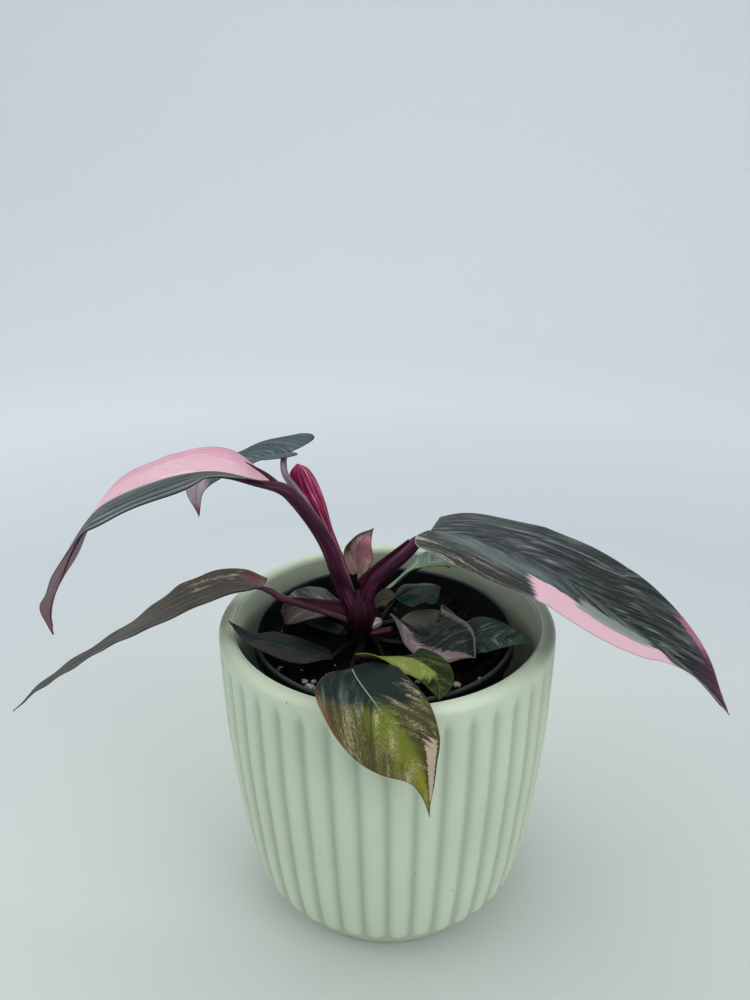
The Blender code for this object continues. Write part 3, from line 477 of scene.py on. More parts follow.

# Painted sweep, in metres: its tones from near to far, where they lie, its level part and its bend.
# Its near tones hold painted light and shade: greener round the pot, darker a short way out.
SWEEP_TONES = ((0, "cdd3cd"), (0.25, "c1c8cc"), (0.6, "d1d5d8"), (1, "d2d5d9"))
SWEEP_NEAR, SWEEP_FAR = 0.1, 1.4
SWEEP_FLAT = (0.4, 0.8)
SWEEP_LEVEL, SWEEP_BEND, SWEEP_TOP = 1.3, 1.3, 2.4
SWEEP_SIDES = 96

# The photograph's view, in metres and degrees: a phone's main lens a little above the plant.
VIEW_PLACE = (0, -0.27921, 0.29016)
VIEW_YAW, VIEW_PITCH, VIEW_ROLL = -0.96, -21.12, -0.36
VIEW_LENS = 27.04

# Soft lights: place and target in metres, size in metres, power in watts.
LIGHTS = {
    "sky": ((-0.8, 0.6, 1.3), (0, 0, 0.12), 1.3, 3),
    "left": ((-1.2, -0.4, 1.0), (0, 0, 0.12), 1.0, 4),
    "right": ((1.1, -0.9, 0.9), (0, 0, 0.1), 1.0, 6),
    "backdrop": ((0, 0.9, 2.0), (0, 2.4, 0.8), 1.2, 7.5),
}
DAYLIGHT = "eef1f4"
DAYLIGHT_STRENGTH = 1.12

BALLS = {}


def colour(code):
    """An sRGB hex value as linear red, green, blue and alpha."""
    values = [int(code[i:i + 2], 16) / 255 for i in (0, 2, 4)]
    return (*[v / 12.92 if v <= 0.04045 else ((v + 0.055) / 1.055) ** 2.4 for v in values], 1)


def add(tree, kind, inputs, out=0, stops=(), **settings):
    """Adds a shader node with its settings, colour stops, and values or links; returns an output."""
    node = tree.nodes.new("ShaderNode" + kind)
    for key, value in settings.items():
        setattr(node, key, value)
    for i, (position, code) in enumerate(stops):
        stop = node.color_ramp.elements[i] if i < 2 else node.color_ramp.elements.new(position)
        stop.position = position
        stop.color = colour(code)
    for key, value in inputs.items():
        if isinstance(value, bpy.types.NodeSocket):
            tree.links.new(value, node.inputs[key])
        else:
            node.inputs[key].default_value = value
    return node.outputs[out]


def new_material(name, **sockets):
    """A material with its shader's own values set; returns the material, its tree and the shader."""
    material = bpy.data.materials.new(name)
    material.use_nodes = True
    tree = material.node_tree
    shader = tree.nodes["Principled BSDF"]
    for key, value in sockets.items():
        shader.inputs[key.replace("_", " ")].default_value = value
    return material, tree, shader


def in_scene(name, data):
    """A new object for a mesh, light or camera, linked into the scene."""
    obj = bpy.data.objects.new(name, data)
    bpy.context.scene.collection.objects.link(obj)
    return obj


def smooth(rows, steps):
    """Points along a smooth curve through every row."""
    p = np.asarray(rows, float)
    p = np.vstack([2 * p[0] - p[1], p, 2 * p[-1] - p[-2]])
    t = np.linspace(0, 1, steps, endpoint=False)[:, None]
    parts = []
    for a, b, c, d in zip(p, p[1:], p[2:], p[3:]):
        bend = 2 * a - 5 * b + 4 * c - d + t * (3 * (b - c) + d - a)
        parts.append(b + 0.5 * t * (c - a + t * bend))
    return np.vstack(parts + [p[-2:-1]])


def unit(v):
    """Vectors of length 1."""
    return v / np.linalg.norm(v, axis=-1, keepdims=True)


def lengths(points):
    """Distance along a row of points to each of them."""
    return np.concatenate([[0], np.cumsum(np.linalg.norm(np.diff(points, axis=0), axis=1))])


def step(low, high, x):
    """Rises smoothly from 0 at low to 1 at high."""
    t = np.clip((x - low) / (high - low), 0, 1)
    return t * t * (3 - 2 * t)


def circles(radius, height, steps):
    """Points of level circles about the axis, one row for each radius and height."""
    angle = np.linspace(0, 2 * math.pi, steps, endpoint=False)
    return np.stack([radius[:, None] * np.cos(angle), radius[:, None] * np.sin(angle),
                     np.repeat(height[:, None], steps, axis=1)], axis=-1)


def grid_faces(rows, columns, closed=False):
    """Quads of a grid of points, joined round from its last column to its first when closed."""
    index = np.arange(rows * columns).reshape(rows, columns)
    if closed:
        index = np.hstack([index, index[:, :1]])
    quads = np.stack([index[:-1, :-1], index[1:, :-1], index[1:, 1:], index[:-1, 1:]], axis=-1)
    return list(map(tuple, quads.reshape(-1, 4).tolist()))


def tube_faces(rows, columns):
    """Faces of a tube of points, with a fan at each end to one more point."""
    faces = grid_faces(rows, columns, closed=True)
    first, last = rows * columns, (rows - 1) * columns
    for i in range(columns):
        j = (i + 1) % columns
        faces += [(i, j, first), (last + j, last + i, first + 1)]
    return faces


def turned_over(faces):
    """The same faces seen from their other side."""
    return [(face[0], *face[:0:-1]) for face in faces]


class Part:
    """
    Points, faces and material of one share of a piece, with the two rows of numbers that its
    finish is drawn by: "place" in shares of the form and "size" in mm.
    """

    def __init__(self, points, faces, place=None, size=None, slot=0):
        self.points = np.asarray(points, float).reshape(-1, 3)
        self.faces = faces
        blank = np.zeros_like(self.points)
        self.place = blank if place is None else place.reshape(-1, 3)
        self.size = blank if size is None else size.reshape(-1, 3)
        self.slot = slot


def piece(name, parts, materials, nodes):
    """One object from its parts, which stands for CAD nodes and rides on the fixed body."""
    points = np.concatenate([part.points for part in parts]) * MM
    faces = []
    slots = []
    start = 0
    for part in parts:
        faces += [tuple(corner + start for corner in face) for face in part.faces]
        slots += [part.slot] * len(part.faces)
        start += len(part.points)
    mesh = bpy.data.meshes.new(name)
    mesh.from_pydata(points.tolist(), [], faces)
    for key in ("place", "size"):
        data = np.concatenate([getattr(part, key) for part in parts]).astype(np.float32)
        mesh.attributes.new(key, "FLOAT_VECTOR", "POINT").data.foreach_set("vector", data.ravel())
    mesh.polygons.foreach_set("material_index", slots)
    mesh.shade_smooth()
    for material in materials:
        mesh.materials.append(material)
    obj = in_scene(name, mesh)
    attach(obj, "root")
    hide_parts(*nodes)
    return obj


def ring_directions(points):
    """Two directions square to a curve at each of its points, turning as little as they can."""
    along = unit(np.gradient(points, axis=0))
    side = np.cross(along[0], (0.3, 1, 0.2))
    sides = []
    for direction in along:
        side = unit(side - direction * (side @ direction))
        sides.append(side)
    sides = np.array(sides)
    return sides, np.cross(along, sides)


def bar(rows, steps, sides, slot=0, ribs=0.0, flat=None):
    """
    A round bar along smooth rows of x, y, z and radius, closed at both ends. Its ribs are a share
    of the radius, and flat is a level in y and the share of the depth that is left about it.
    """
    q = smooth(rows, steps)
    side, up = ring_directions(q[:, :3])
    angle = np.linspace(0, 2 * math.pi, sides, endpoint=False)
    swell = 1 + ribs * sum(share * np.cos(count * angle + turn) for count, share, turn in STALK_RIBS)
    out = side[:, None] * np.cos(angle)[:, None] + up[:, None] * np.sin(angle)[:, None]
    ring = q[:, None, :3] + q[:, None, 3:] * swell[:, None] * out
    if flat:
        level, share = flat
        ring[..., 1] = level + (ring[..., 1] - level) * share
    points = np.vstack([ring.reshape(-1, 3), ring[0].mean(0), ring[-1].mean(0)])
    along = np.repeat(lengths(q[:, :3])[:, None], sides, axis=1)
    across, over = (np.broadcast_to(f(angle), along.shape) for f in (np.cos, np.sin))
    place = np.stack([along / along.max(), across, over], axis=-1).reshape(-1, 3)
    size = np.stack([along, q[:, 3:] * across, q[:, 3:] * over], axis=-1).reshape(-1, 3)
    place, size = (np.vstack([values, values[0], values[-1]]) for values in (place, size))
    return Part(points, turned_over(tube_faces(len(q), sides)), place, size, slot)


def turned(profile, steps, shape=None):
    """A solid turned about the axis from rows of radius and height, the first and last on it."""
    radius, height = np.asarray(profile, float)[1:-1].T
    ring = circles(radius, height, steps)
    if shape:
        ring = shape(ring)
    points = np.vstack([ring.reshape(-1, 3), (0, 0, profile[0][1]), (0, 0, profile[-1][1])])
    return Part(points, tube_faces(len(radius), steps))


def two_sheets(upper, under, place, size, slot=0):
    """One closed skin from an upper and an under sheet, joined by a wall all round."""
    rows, columns = upper.shape[:2]
    below = rows * columns
    index = np.arange(below).reshape(rows, columns)
    rim = [*index[0], *index[1:, -1], *index[-1, -2::-1], *index[-2:0:-1, 0]]
    walls = [(a, b, b + below, a + below) for a, b in zip(rim, rim[1:] + rim[:1])]
    sheet = grid_faces(rows, columns)
    back = [tuple(corner + below for corner in face) for face in turned_over(sheet)]
    return Part(np.stack([upper, under]), sheet + back + walls,
                np.stack([place, place * (1, 1, -1)]), np.stack([size, size]), slot)


def rib_deficit(angle, radius, height):
    """How far the wall lies inside the rib crests, with a valley at angle 0."""
    pitch = 2 * math.pi * radius / POT_RIBS
    turn = angle * POT_RIBS / (2 * math.pi)
    across = np.abs(turn - np.floor(turn) - 0.5) * pitch
    away = np.hypot(across, np.maximum(0, RIB_END + pitch / 2 - height))
    fade = np.clip((RIB_TOP - height) / RIB_FADE, 0, 1)
    return RIB_DEPTH * fade * np.minimum(1, 2 * away / pitch) ** RIB_POWER


def cover_pot():
    """The ribbed pot, its wall rows close enough for smooth flutes and rounded rib ends."""
    outer = smooth(POT_OUTER, POT_OUTER_STEPS)
    profile = np.vstack([smooth(POT_INNER[1:], POT_INNER_STEPS), POT_LIP, outer])
    wall = len(profile) - len(outer)
    depth = np.zeros((len(profile), POT_RIBS * RIB_STEPS))

    def flutes(ring):
        x, y, z = (ring[wall:, :, i] for i in range(3))
        radius = np.hypot(x, y)
        depth[wall:] = rib_deficit(np.arctan2(y, x) + math.pi / 2 + SEAM_NUDGE, radius, z)
        ring[wall:, :, :2] *= (1 - depth[wall:] / radius)[..., None]
        return ring

    body = turned(np.vstack([POT_INNER[0], profile, (0, 0)]), POT_RIBS * RIB_STEPS, flutes)
    body.place[:depth.size, 0] = depth.ravel() / RIB_DEPTH
    return piece("cover_pot_glazed", [body], [mint_glaze()], ["cover_pot"])


def nursery_pot():
    """The thin pot inside, with its rolled rim and the drain holes cut through its floor."""
    body = turned(NURSERY, NURSERY_STEPS)
    obj = piece("nursery_pot_moulded", [body], [black_plastic()], ["nursery_pot"])
    cutters = []
    for i in range(DRAINS):
        angle = math.pi / 4 + 2 * math.pi * i / DRAINS
        x, y = DRAIN_CIRCLE * math.cos(angle), DRAIN_CIRCLE * math.sin(angle)
        hole = bar([(x, y, z, DRAIN_RADIUS) for z in DRAIN_SPAN], 2, DRAIN_SIDES)
        mesh = bpy.data.meshes.new("drain_cutter")
        mesh.from_pydata((hole.points * MM).tolist(), [], hole.faces)
        cutters.append(in_scene("drain_cutter", mesh))
        obj.modifiers.new(f"drain_{i}", "BOOLEAN").object = cutters[-1]
    cut = obj.evaluated_get(bpy.context.evaluated_depsgraph_get())
    obj.data = bpy.data.meshes.new_from_object(cut)
    obj.modifiers.clear()
    for cutter in cutters:
        bpy.data.objects.remove(cutter)
    obj.data.transform(Matrix.Translation((*(c * MM for c in NURSERY_CENTRE), 0)))
    return obj


def soil_height(x, y):
    """The soil's low lumps, level beside the stem and at the wall."""
    lumps = np.sin(0.31 * x + 1.1) * np.cos(0.27 * y - 0.4) + 0.7 * np.sin(0.19 * x - 0.33 * y)
    by_stem = np.clip((np.hypot(x - STEM[0][0], y) - LEVEL_BY_STEM) / LEVEL_BY_STEM, 0, 1)
    by_wall = np.clip((SOIL_RADIUS - np.hypot(x, y)) / LEVEL_BY_WALL, 0, 1)
    return SOIL_TOP + LUMP_HEIGHT * lumps * by_stem * by_wall


def soil():
    """Crumbly soil: a rough bed, and loose crumbs, bark bits and pale grains lying on it."""
    rings = np.linspace(0.6, SOIL_RADIUS - 0.05, SOIL_RINGS)
    profile = [(0, SOIL_TOP), *[(r, SOIL_TOP) for r in rings], SOIL_FOOT, (0, SOIL_FOOT[1])]

    def crumbly(ring):
        x, y, _ = ring[:SOIL_RINGS].reshape(-1, 3).T
        rough = [sum(high * noise.noise((a * close, b * close, layer))
                     for high, close, layer in BED_GRAIN) for a, b in zip(x, y)]
        edge = np.clip((SOIL_RADIUS - np.hypot(x, y)) / 3, 0.15, 1)
        height = soil_height(x, y) + np.array(rough) * edge
        from_stem = np.hypot(x + NURSERY_CENTRE[0] - STEM[0][0], y + NURSERY_CENTRE[1])
        height[from_stem < STEM_HOLE] = STEM_HOLE_BOTTOM
        ring[:SOIL_RINGS, :, 2] = height.reshape(SOIL_RINGS, -1)
        return ring

    parts = [turned(profile, SOIL_STEPS, crumbly)]
    for group in CRUMBS:
        parts += crumbs(*group)
    for i, (x, y, radius) in enumerate(GRAINS):
        place = x - NURSERY_CENTRE[0], y - NURSERY_CENTRE[1]
        parts.append(lump(place, radius, 40 + i, 1, GRAIN_SINK))
    for part in parts:
        part.points[:, :2] += NURSERY_CENTRE
    return piece("soil_crumbs", parts, [potting_soil(), perlite()], ["soil"])


def ball(level):
    """Points and faces of a ball of radius 1, made once for each level."""
    if level not in BALLS:
        work = bmesh.new()
        bmesh.ops.create_icosphere(work, subdivisions=level, radius=1)
        points = np.array([tuple(v.co) for v in work.verts])
        BALLS[level] = points, [tuple(v.index for v in face.verts) for face in work.faces]
        work.free()
    return BALLS[level]


def lump(place, radius, seed, slot, sink):
    """A rough lump lying on the soil."""
    points, faces = ball(2 if radius > 1 else 1)
    turn = np.array(Matrix.Rotation(seed * 1.7, 3, (1, 0.4, 0.7)))
    layer = Vector((seed * 3.1, 0, 0))
    rough = np.array([1 + LUMP_ROUGHNESS * noise.noise(Vector(p) * 1.6 + layer) for p in points])
    points = (points * rough[:, None]) @ turn.T * radius * LUMP_SHAPE
    x, y = place
    return Part(points + (x, y, float(soil_height(x, y)) + radius * sink), faces, slot=slot)


def crumbs(count, least, most, slot, seed):
    """Lumps scattered evenly over the soil, clear of the stem."""
    draw = np.random.default_rng(seed)
    parts = []
    for i in range(count):
        radius = least + (most - least) * draw.random() ** 2.5
        reach = (SOIL_RADIUS - CRUMB_CLEAR_OF_WALL - radius) * math.sqrt(draw.random())
        angle = draw.random() * 2 * math.pi
        x, y = reach * math.cos(angle), reach * math.sin(angle)
        if math.hypot(x - STEM[0][0], y) > CRUMB_CLEAR_OF_STEM + radius:
            parts.append(lump((x, y), radius, seed * 100 + i, slot, CRUMB_SINK))
    return parts


def stem():
    """The ribbed stem, with its cut stubs, a dry strand and a scrap of dry sheath."""
    parts = [bar(STEM, 10, 40, ribs=0.035)]
    parts += [bar(rows, 8, 20, slot=1 + i, ribs=0.04) for i, rows in enumerate(STUBS)]
    parts.append(bar(STRAND, 8, 10))
    parts.append(wing(*SHEATH, 3))
    skins = [stem_skin(), stub_skin(), stalk_skin("red"), stalk_skin("dry")]
    return piece("stem_knot", parts, skins, ["stem"])


def bud():
    """The closed bud, flattened front to back, on its stalk."""
    rows = [(x, BUD_Y, z, r) for x, z, r in BUD]
    parts = [bar(rows, 16, 48, flat=(BUD_Y, BUD_FLAT), ribs=0.015), bar(BUD_STALK, 8, 20, slot=1)]
    return piece("bud_closed", parts, [bud_skin(), stalk_skin("purple")], ["bud_sheath"])


def spine_steps(leaf):
    """Fine steps of a leaf's spine: arc length, place, along, left and up vectors, leans."""
    q = smooth(leaf["spine"], SPINE_STEPS)
    p = q[:, :3]
    along = unit(np.gradient(p, axis=0))
    left = np.asarray(leaf["left"], float)
    left = unit(left - (along @ left)[:, None] * along)
    lean = np.radians(q[:, 3:])
    roll = (lean[:, :1] - lean[:, 1:]) / 2
    up = np.cross(along, left)
    turned_left = left * np.cos(roll) + up * np.sin(roll)
    return lengths(p), p, along, turned_left, up * np.cos(roll) - left * np.sin(roll), lean


def on_spine(spine, u):
    """Place, left, up and fold at the distances u along the spine, straight on before its start."""
    length, p, along, left, up, lean = spine
    values = np.hstack([p, left, up, lean.mean(axis=1, keepdims=True)])
    found = np.stack([np.interp(u, length, column) for column in values.T], axis=-1)
    place = found[..., :3] + np.minimum(u, 0)[..., None] * along[0]
    return place, found[..., 3:6], found[..., 6:9], found[..., 9:]


def half_blade(leaf, side, rows, columns):
    """
    One half of a blade: its points and upward normals, and for its pattern, rows of the shares
    along and across with the distance in mm from the margin, and of the distances in mm along,
    across, and from vein to vein.
    """
    spine = spine_steps(leaf)
    full = spine[0][-1]
    half = 0 if side > 0 else 1
    width = leaf["widths"][half]
    edge = smooth(leaf.get("edges", (PROFILE, PROFILE))[half], EDGE_STEPS)
    t = np.linspace(0, 1, rows)
    at = np.linspace(0, 1, len(edge))
    edge_u = np.interp(t, at, edge[:, 0]) * full
    edge_u = np.where(edge_u < 0, edge_u * leaf.get("lobes", (1, 1))[half], edge_u)
    edge_v = np.maximum(np.interp(t, at, edge[:, 1]) * width, LEAST_HALF)
    q = np.linspace(0, 1, columns + 1)[None, :]
    u = full * t[:, None] ** ROW_POWER * (1 - q) + edge_u[:, None] * q
    v = edge_v[:, None] * q
    place, left, up, fold = on_spine(spine, u)
    lean = fold + math.radians(leaf.get("curl", 0) / 2) * v[..., None] / width
    outward = side * left * np.cos(lean) + up * np.sin(lean)
    normal = up * np.cos(lean) - side * left * np.sin(lean)
    first, more = leaf.get("sweep", VEIN_SWEEP)
    vein = (u - first * v - more * v * v / width) * VEIN_SCALE / math.hypot(1, first)
    if "lengthwise" in leaf:
        vein = width * q + 0 * u
    share = np.stack([u / full, side * q + 0 * u, edge_v[:, None] * (1 - q)], -1)
    size = np.stack([u, side * v, vein], -1)
    normal = np.where(v[..., None] > 0, normal, up)
    top = place + v[..., None] * outward + normal * relief(u, v, vein, width, q)[..., None]
    return top, normal, share, size


def relief(u, v, vein, width, q):
    """Height of the pleats along the veins, the sunken midrib and the waved margin."""
    pleats = PLEAT_HEIGHT * np.cos(2 * math.pi * vein / (PLEAT_WIDTH + width / 9))
    pleats = pleats * step(0.5, 3, v) * (1 - q ** 6)
    groove = -GROOVE_DEPTH * np.exp(-(v / GROOVE_WIDTH) ** 2)
    wave = WAVE_HEIGHT * q ** 3 * np.sin(u * 2 * math.pi / (WAVE_LENGTH + width / 2) + width)
    return (pleats + groove) * min(1, width / 14) + wave * min(1, width / 20) * step(0, 12, u)


def blade(leaf):
    """The blade as one closed skin, thinnest at its margin."""
    full = spine_steps(leaf)[0][-1]
    rows = int(full / STEP_ALONG) + 12
    columns = max(8, int(max(leaf["widths"]) / STEP_ACROSS))
    right = half_blade(leaf, -1, rows, columns)
    left = half_blade(leaf, 1, rows, columns)
    top, normal, place, size = (np.concatenate([a[:, :0:-1], b], axis=1) for a, b in zip(right, left))
    inner = step(0, 3, place[..., 2:])
    return two_sheets(top, top - (MARGIN + (BLADE - MARGIN) * inner) * normal, place, size)


def wing(edge, root, slot):
    """A thin sheath wing between its free edge and its root, bulging a little."""
    a, b = smooth(edge, WING_STEPS), smooth(root, WING_STEPS)
    across = np.linspace(0, 1, WING_STEPS)[None, :, None]
    middle = a[:, None] * (1 - across) + b[:, None] * across
    normal = unit(np.cross(np.gradient(middle, axis=0), np.gradient(middle, axis=1)))
    middle = middle + normal * WING_BULGE * np.sin(math.pi * across)
    half = WING_EDGE + WING_ROOT * across
    along = np.repeat(lengths(a)[:, None], WING_STEPS, axis=1)
    out = across[..., 0] * WING_WIDTH + 0 * along
    size = np.stack([along, out, 0 * along], -1)
    place = np.stack([0 * along, out / 3, 0 * along], -1)
    return two_sheets(middle + normal * half, middle - normal * half, place, size, slot)


def stalk_and_ridge(leaf):
    """The leaf's stalk, going on as a tapering ridge under the blade."""
    spine = spine_steps(leaf)
    full = spine[0][-1]
    start = leaf["stalk"][-1][3] * RIDGE_START
    u = np.linspace(*RIDGE_SPAN, RIDGE_ROWS) * full
    radius = RIDGE_LEAST + (start - RIDGE_LEAST) * (1 - u / full) ** RIDGE_POWER
    place, _, up, _ = on_spine(spine, u)
    ridge = np.column_stack([place - up * (radius + RIDGE_SINK)[:, None], radius])
    return bar([*leaf["stalk"], *ridge], 6, STALK_SIDES, slot=1, ribs=0.03)


def leaf_piece(name, leaf):
    """One leaf: its blade, and its stalk with the narrow lobes and sheath wings on it."""
    parts = [blade(leaf), stalk_and_ridge(leaf)]
    parts += [bar(rows, 8, 14, slot=1) for rows in leaf.get("strips", ())]
    parts += [wing(edge, root, 1) for edge, root in leaf.get("wings", ())]
    skins = [leaf_skin(name, LOOKS[name]), stalk_skin(LOOKS[name]["stalk"])]
    return piece(f"{name}_fine", parts, skins, [name])


def grained(tree, grain, detail, stops):
    """Grain of a size in mm through a solid thing: the place, the grain and the tones it runs through."""
    place = add(tree, "TexCoord", {}, out="Object")
    grain = add(tree, "TexNoise", {"Vector": place, "Scale": 1 / (grain * MM), "Detail": detail})
    return place, grain, add(tree, "ValToRGB", {"Fac": grain}, stops=stops)


def painted(tree, tone, layers):
    """Lays coats over a tone in turn, each where its mask says, in its own colour."""
    for mask, code in layers:
        tone = add(tree, "Mix", {0: mask, 6: tone, 7: colour(code)}, out=2, data_type="RGBA")
    return tone


def surface(tree, shader, tone, height=None, strength=0.0, depth=0.0):
    """Gives the shader its tone and, where there is a height, a relief of so many mm."""
    tree.links.new(tone, shader.inputs["Base Color"])
    if height is not None:
        bump = add(tree, "Bump", {"Height": height, "Strength": strength, "Distance": depth * MM})
        tree.links.new(bump, shader.inputs["Normal"])


def mint_glaze():
    """Pale mint matt glaze on earthenware: clouded, darker in the flutes as glaze pooled there and as
    painted shade, with iron specks.
    """
    material, tree, shader = new_material("mint_matt_glaze", Roughness=0.42, IOR=1.5)
    place, _, tone = grained(tree, 45, 3, ((0.3, "c6d4b8"), (0.7, "cedcc2")))
    flute = add(tree, "Attribute", {}, out="Vector", attribute_name="place")
    flute = add(tree, "SeparateXYZ", {"Vector": flute}, out=0)
    # Pooled glaze and painted shade: the flutes darken with their depth.
    pooled_and_shaded = add(tree, "MapRange", {"Value": flute, 1: 0.03, 2: 0.7, 4: 0.42})
    specks = add(tree, "TexVoronoi", {"Vector": place, "Scale": 1 / (9 * MM)}, out="Distance")
    specks = add(tree, "MapRange", {"Value": specks, 1: 0.02, 2: 0.045, 3: 1, 4: 0})
    tone = painted(tree, tone, ((pooled_and_shaded, "909c84"), (specks, "4d5348")))
    fine = add(tree, "TexNoise", {"Vector": place, "Scale": 1 / (4 * MM), "Detail": 2})
    surface(tree, shader, tone, fine, 0.12, 0.2)
    return material


def black_plastic():
    """
    Black moulded polypropylene, its rolled rim painted grey as a highlight. The mould's own grain
    is too fine to show, so it is drawn as coarse as a dust grain.
    """
    material, tree, shader = new_material("black_polypropylene", Roughness=0.5, Specular_IOR_Level=0.12)
    place, dust, tone = grained(tree, 6, 4, ((0.45, "050607"), (0.8, "0e1113")))
    height = add(tree, "SeparateXYZ", {"Vector": place}, out=2)
    # Painted highlight: the rolled rim turns grey from 123.7 mm up.
    rim = add(tree, "MapRange", {"Value": height, 1: 123.7 * MM, 2: 125.1 * MM, 4: 0.75})
    surface(tree, shader, painted(tree, tone, ((rim, "4b525a"),)), dust, 0.1, 0.2)
    return material


def potting_soil():
    """Moist peat and bark: almost black, with brown fibre."""
    material, tree, shader = new_material("moist_peat", Roughness=0.85, Specular_IOR_Level=0.1)
    _, fibre, tone = grained(tree, 1.2, 4, ((0.4, "050504"), (0.75, "1b1511")))
    surface(tree, shader, tone, fibre, 0.8, 0.6)
    return material


def perlite():
    """Expanded perlite: chalky off-white, pitted."""
    material, tree, shader = new_material("perlite_grain", Roughness=0.9, IOR=1.5)
    _, _, tone = grained(tree, 0.6, 2, ((0.35, "6f6a62"), (0.6, "d8d6cf")))
    surface(tree, shader, tone)
    return material


def scaled(tree, name, by):
    """One of the surface's rows of numbers, multiplied by three shares."""
    row = add(tree, "Attribute", {}, out="Vector", attribute_name=name)
    return add(tree, "VectorMath", {0: row, 1: by}, operation="MULTIPLY")


def streaks(tree, along, across, seed):
    """Noise drawn out along a stalk: grain in mm along it, and round it as a share of the radius."""
    length = scaled(tree, "size", (1 / along, 0, 0))
    round_it = scaled(tree, "place", (0, 1 / across, 1 / across))
    both = add(tree, "VectorMath", {0: length, 1: round_it}, operation="ADD")
    moved = add(tree, "VectorMath", {0: both, 1: (seed, seed * 2, seed * 3)}, operation="ADD")
    return add(tree, "TexNoise", {"Vector": moved, "Scale": 1, "Detail": 3})


def stalk_skin(tone_name):
    """Smooth leaf stalk: dark flesh with paler lengthwise streaks and a waxy skin."""
    name = f"stalk_{tone_name}"
    if name in bpy.data.materials:
        return bpy.data.materials[name]
    material, tree, shader = new_material(name, Roughness=0.42, Specular_IOR_Level=0.25)
    lines = streaks(tree, 16, 0.24, 3)
    stops = tuple(zip((0.3, 0.58, 0.8), STALK_TONES[tone_name]))
    tone = add(tree, "ValToRGB", {"Fac": lines}, stops=stops)
    surface(tree, shader, tone, lines, 0.35, 0.3)
    return material


def stem_skin():
    """Old stem: almost black below, partly its own dark rind and partly painted shade near the soil, and
    the dark wine red of the stalks where they part from it.
    """
    material, tree, shader = new_material("stem_rind", Roughness=0.5, Specular_IOR_Level=0.2)
    place = add(tree, "Attribute", {}, out="Vector", attribute_name="place")
    along = add(tree, "SeparateXYZ", {"Vector": place}, out=0)
    lines = streaks(tree, 14, 0.16, 3)
    base = add(tree, "ValToRGB", {"Fac": lines}, stops=((0.35, "030202"), (0.7, "0f080b")))
    top = add(tree, "ValToRGB", {"Fac": lines}, stops=((0.35, "1a0610"), (0.7, "431329")))
    # Painted shade in part: the stem darkens to black towards the soil.
    rise = add(tree, "MapRange", {"Value": along, 1: 0.66, 2: 0.96},
               interpolation_type="SMOOTHSTEP")
    tone = add(tree, "Mix", {0: rise, 6: base, 7: top}, out=2, data_type="RGBA")
    surface(tree, shader, tone, lines, 0.35, 0.3)
    return material


def stub_skin():
    """Cut stalk stub: pinkish white, dry."""
    material, tree, shader = new_material("dry_stub", Roughness=0.7, IOR=1.4)
    lines = streaks(tree, 4, 0.3, 8)
    tone = add(tree, "ValToRGB", {"Fac": lines}, stops=((0.35, "8f6f6b"), (0.6, "d9c6bf")))
    surface(tree, shader, tone)
    return material


def bud_skin():
    """Closed bud sheath: crimson, with pale pink and dark lengthwise streaks."""
    material, tree, shader = new_material("crimson_sheath", Roughness=0.38, Specular_IOR_Level=0.3)
    lines = streaks(tree, 20, 0.14, 5)
    tone = add(tree, "ValToRGB", {"Fac": lines},
               stops=((0.36, "4a0d28"), (0.48, "8c1b45"), (0.57, "b23467"), (0.66, "eab6c6")))
    surface(tree, shader, tone, lines, 0.4, 0.3)
    return material


def between(tree, value, low, high, soft):
    """1 where a value lies between low and high, falling smoothly over soft at both ends."""
    rise = add(tree, "MapRange", {"Value": value, 1: low - soft, 2: low + soft},
               interpolation_type="SMOOTHSTEP")
    fall = add(tree, "MapRange", {"Value": value, 1: high - soft, 2: high + soft, 3: 1, 4: 0},
               interpolation_type="SMOOTHSTEP")
    return add(tree, "Math", {0: rise, 1: fall}, operation="MULTIPLY")


def vein_noise(tree, size, grain, detail, roughness=0.5):
    """Noise drawn out along the side veins, its grain in mm along the leaf, outwards, and across them."""
    share = tuple(1 / g for g in grain)
    drawn = add(tree, "VectorMath", {0: size, 1: share}, operation="MULTIPLY")
    return add(tree, "TexNoise",
               {"Vector": drawn, "Scale": 1, "Detail": detail, "Roughness": roughness})


def leaf_sectors(tree, place, size, clumps, sectors):
    """Masks of the sectors, with margins torn along the veins, or broken up into specks."""
    along, across, _ = place
    torn = vein_noise(tree, size, (20, 6, 1.6), 5, 0.7)
    torn = add(tree, "Math", {0: torn, 1: 0.5}, operation="SUBTRACT")
    aside = add(tree, "Math", {0: across}, operation="ABSOLUTE")
    layers = []
    for code, t0, t1, s0, s1, slant, soft, ragged, grain, strength in sectors:
        back = add(tree, "Math", {0: aside, 1: -slant, 2: along}, operation="MULTIPLY_ADD")
        ends = add(tree, "Math", {0: torn, 1: ragged * 2, 2: back}, operation="MULTIPLY_ADD")
        ends = between(tree, ends, t0, t1, soft)
        sides = add(tree, "Math", {0: torn, 1: ragged * 2, 2: across}, operation="MULTIPLY_ADD")
        sides = between(tree, sides, s0, s1, soft * 1.5)
        mask = add(tree, "Math", {0: ends, 1: sides}, operation="MULTIPLY")
        if grain:
            specks = vein_noise(tree, size, (4 * grain, 2 * grain, grain), 3, 0.7)
            specks = add(tree, "Math", {0: clumps, 1: 0.7, 2: specks}, operation="MULTIPLY_ADD")
            specks = add(tree, "MapRange", {"Value": specks, 1: 0.92, 2: 1.02})
            mask = add(tree, "Math", {0: mask, 1: specks}, operation="MULTIPLY")
        mask = add(tree, "Math", {0: mask, 1: strength}, operation="MULTIPLY")
        layers.append((mask, code))
    return layers


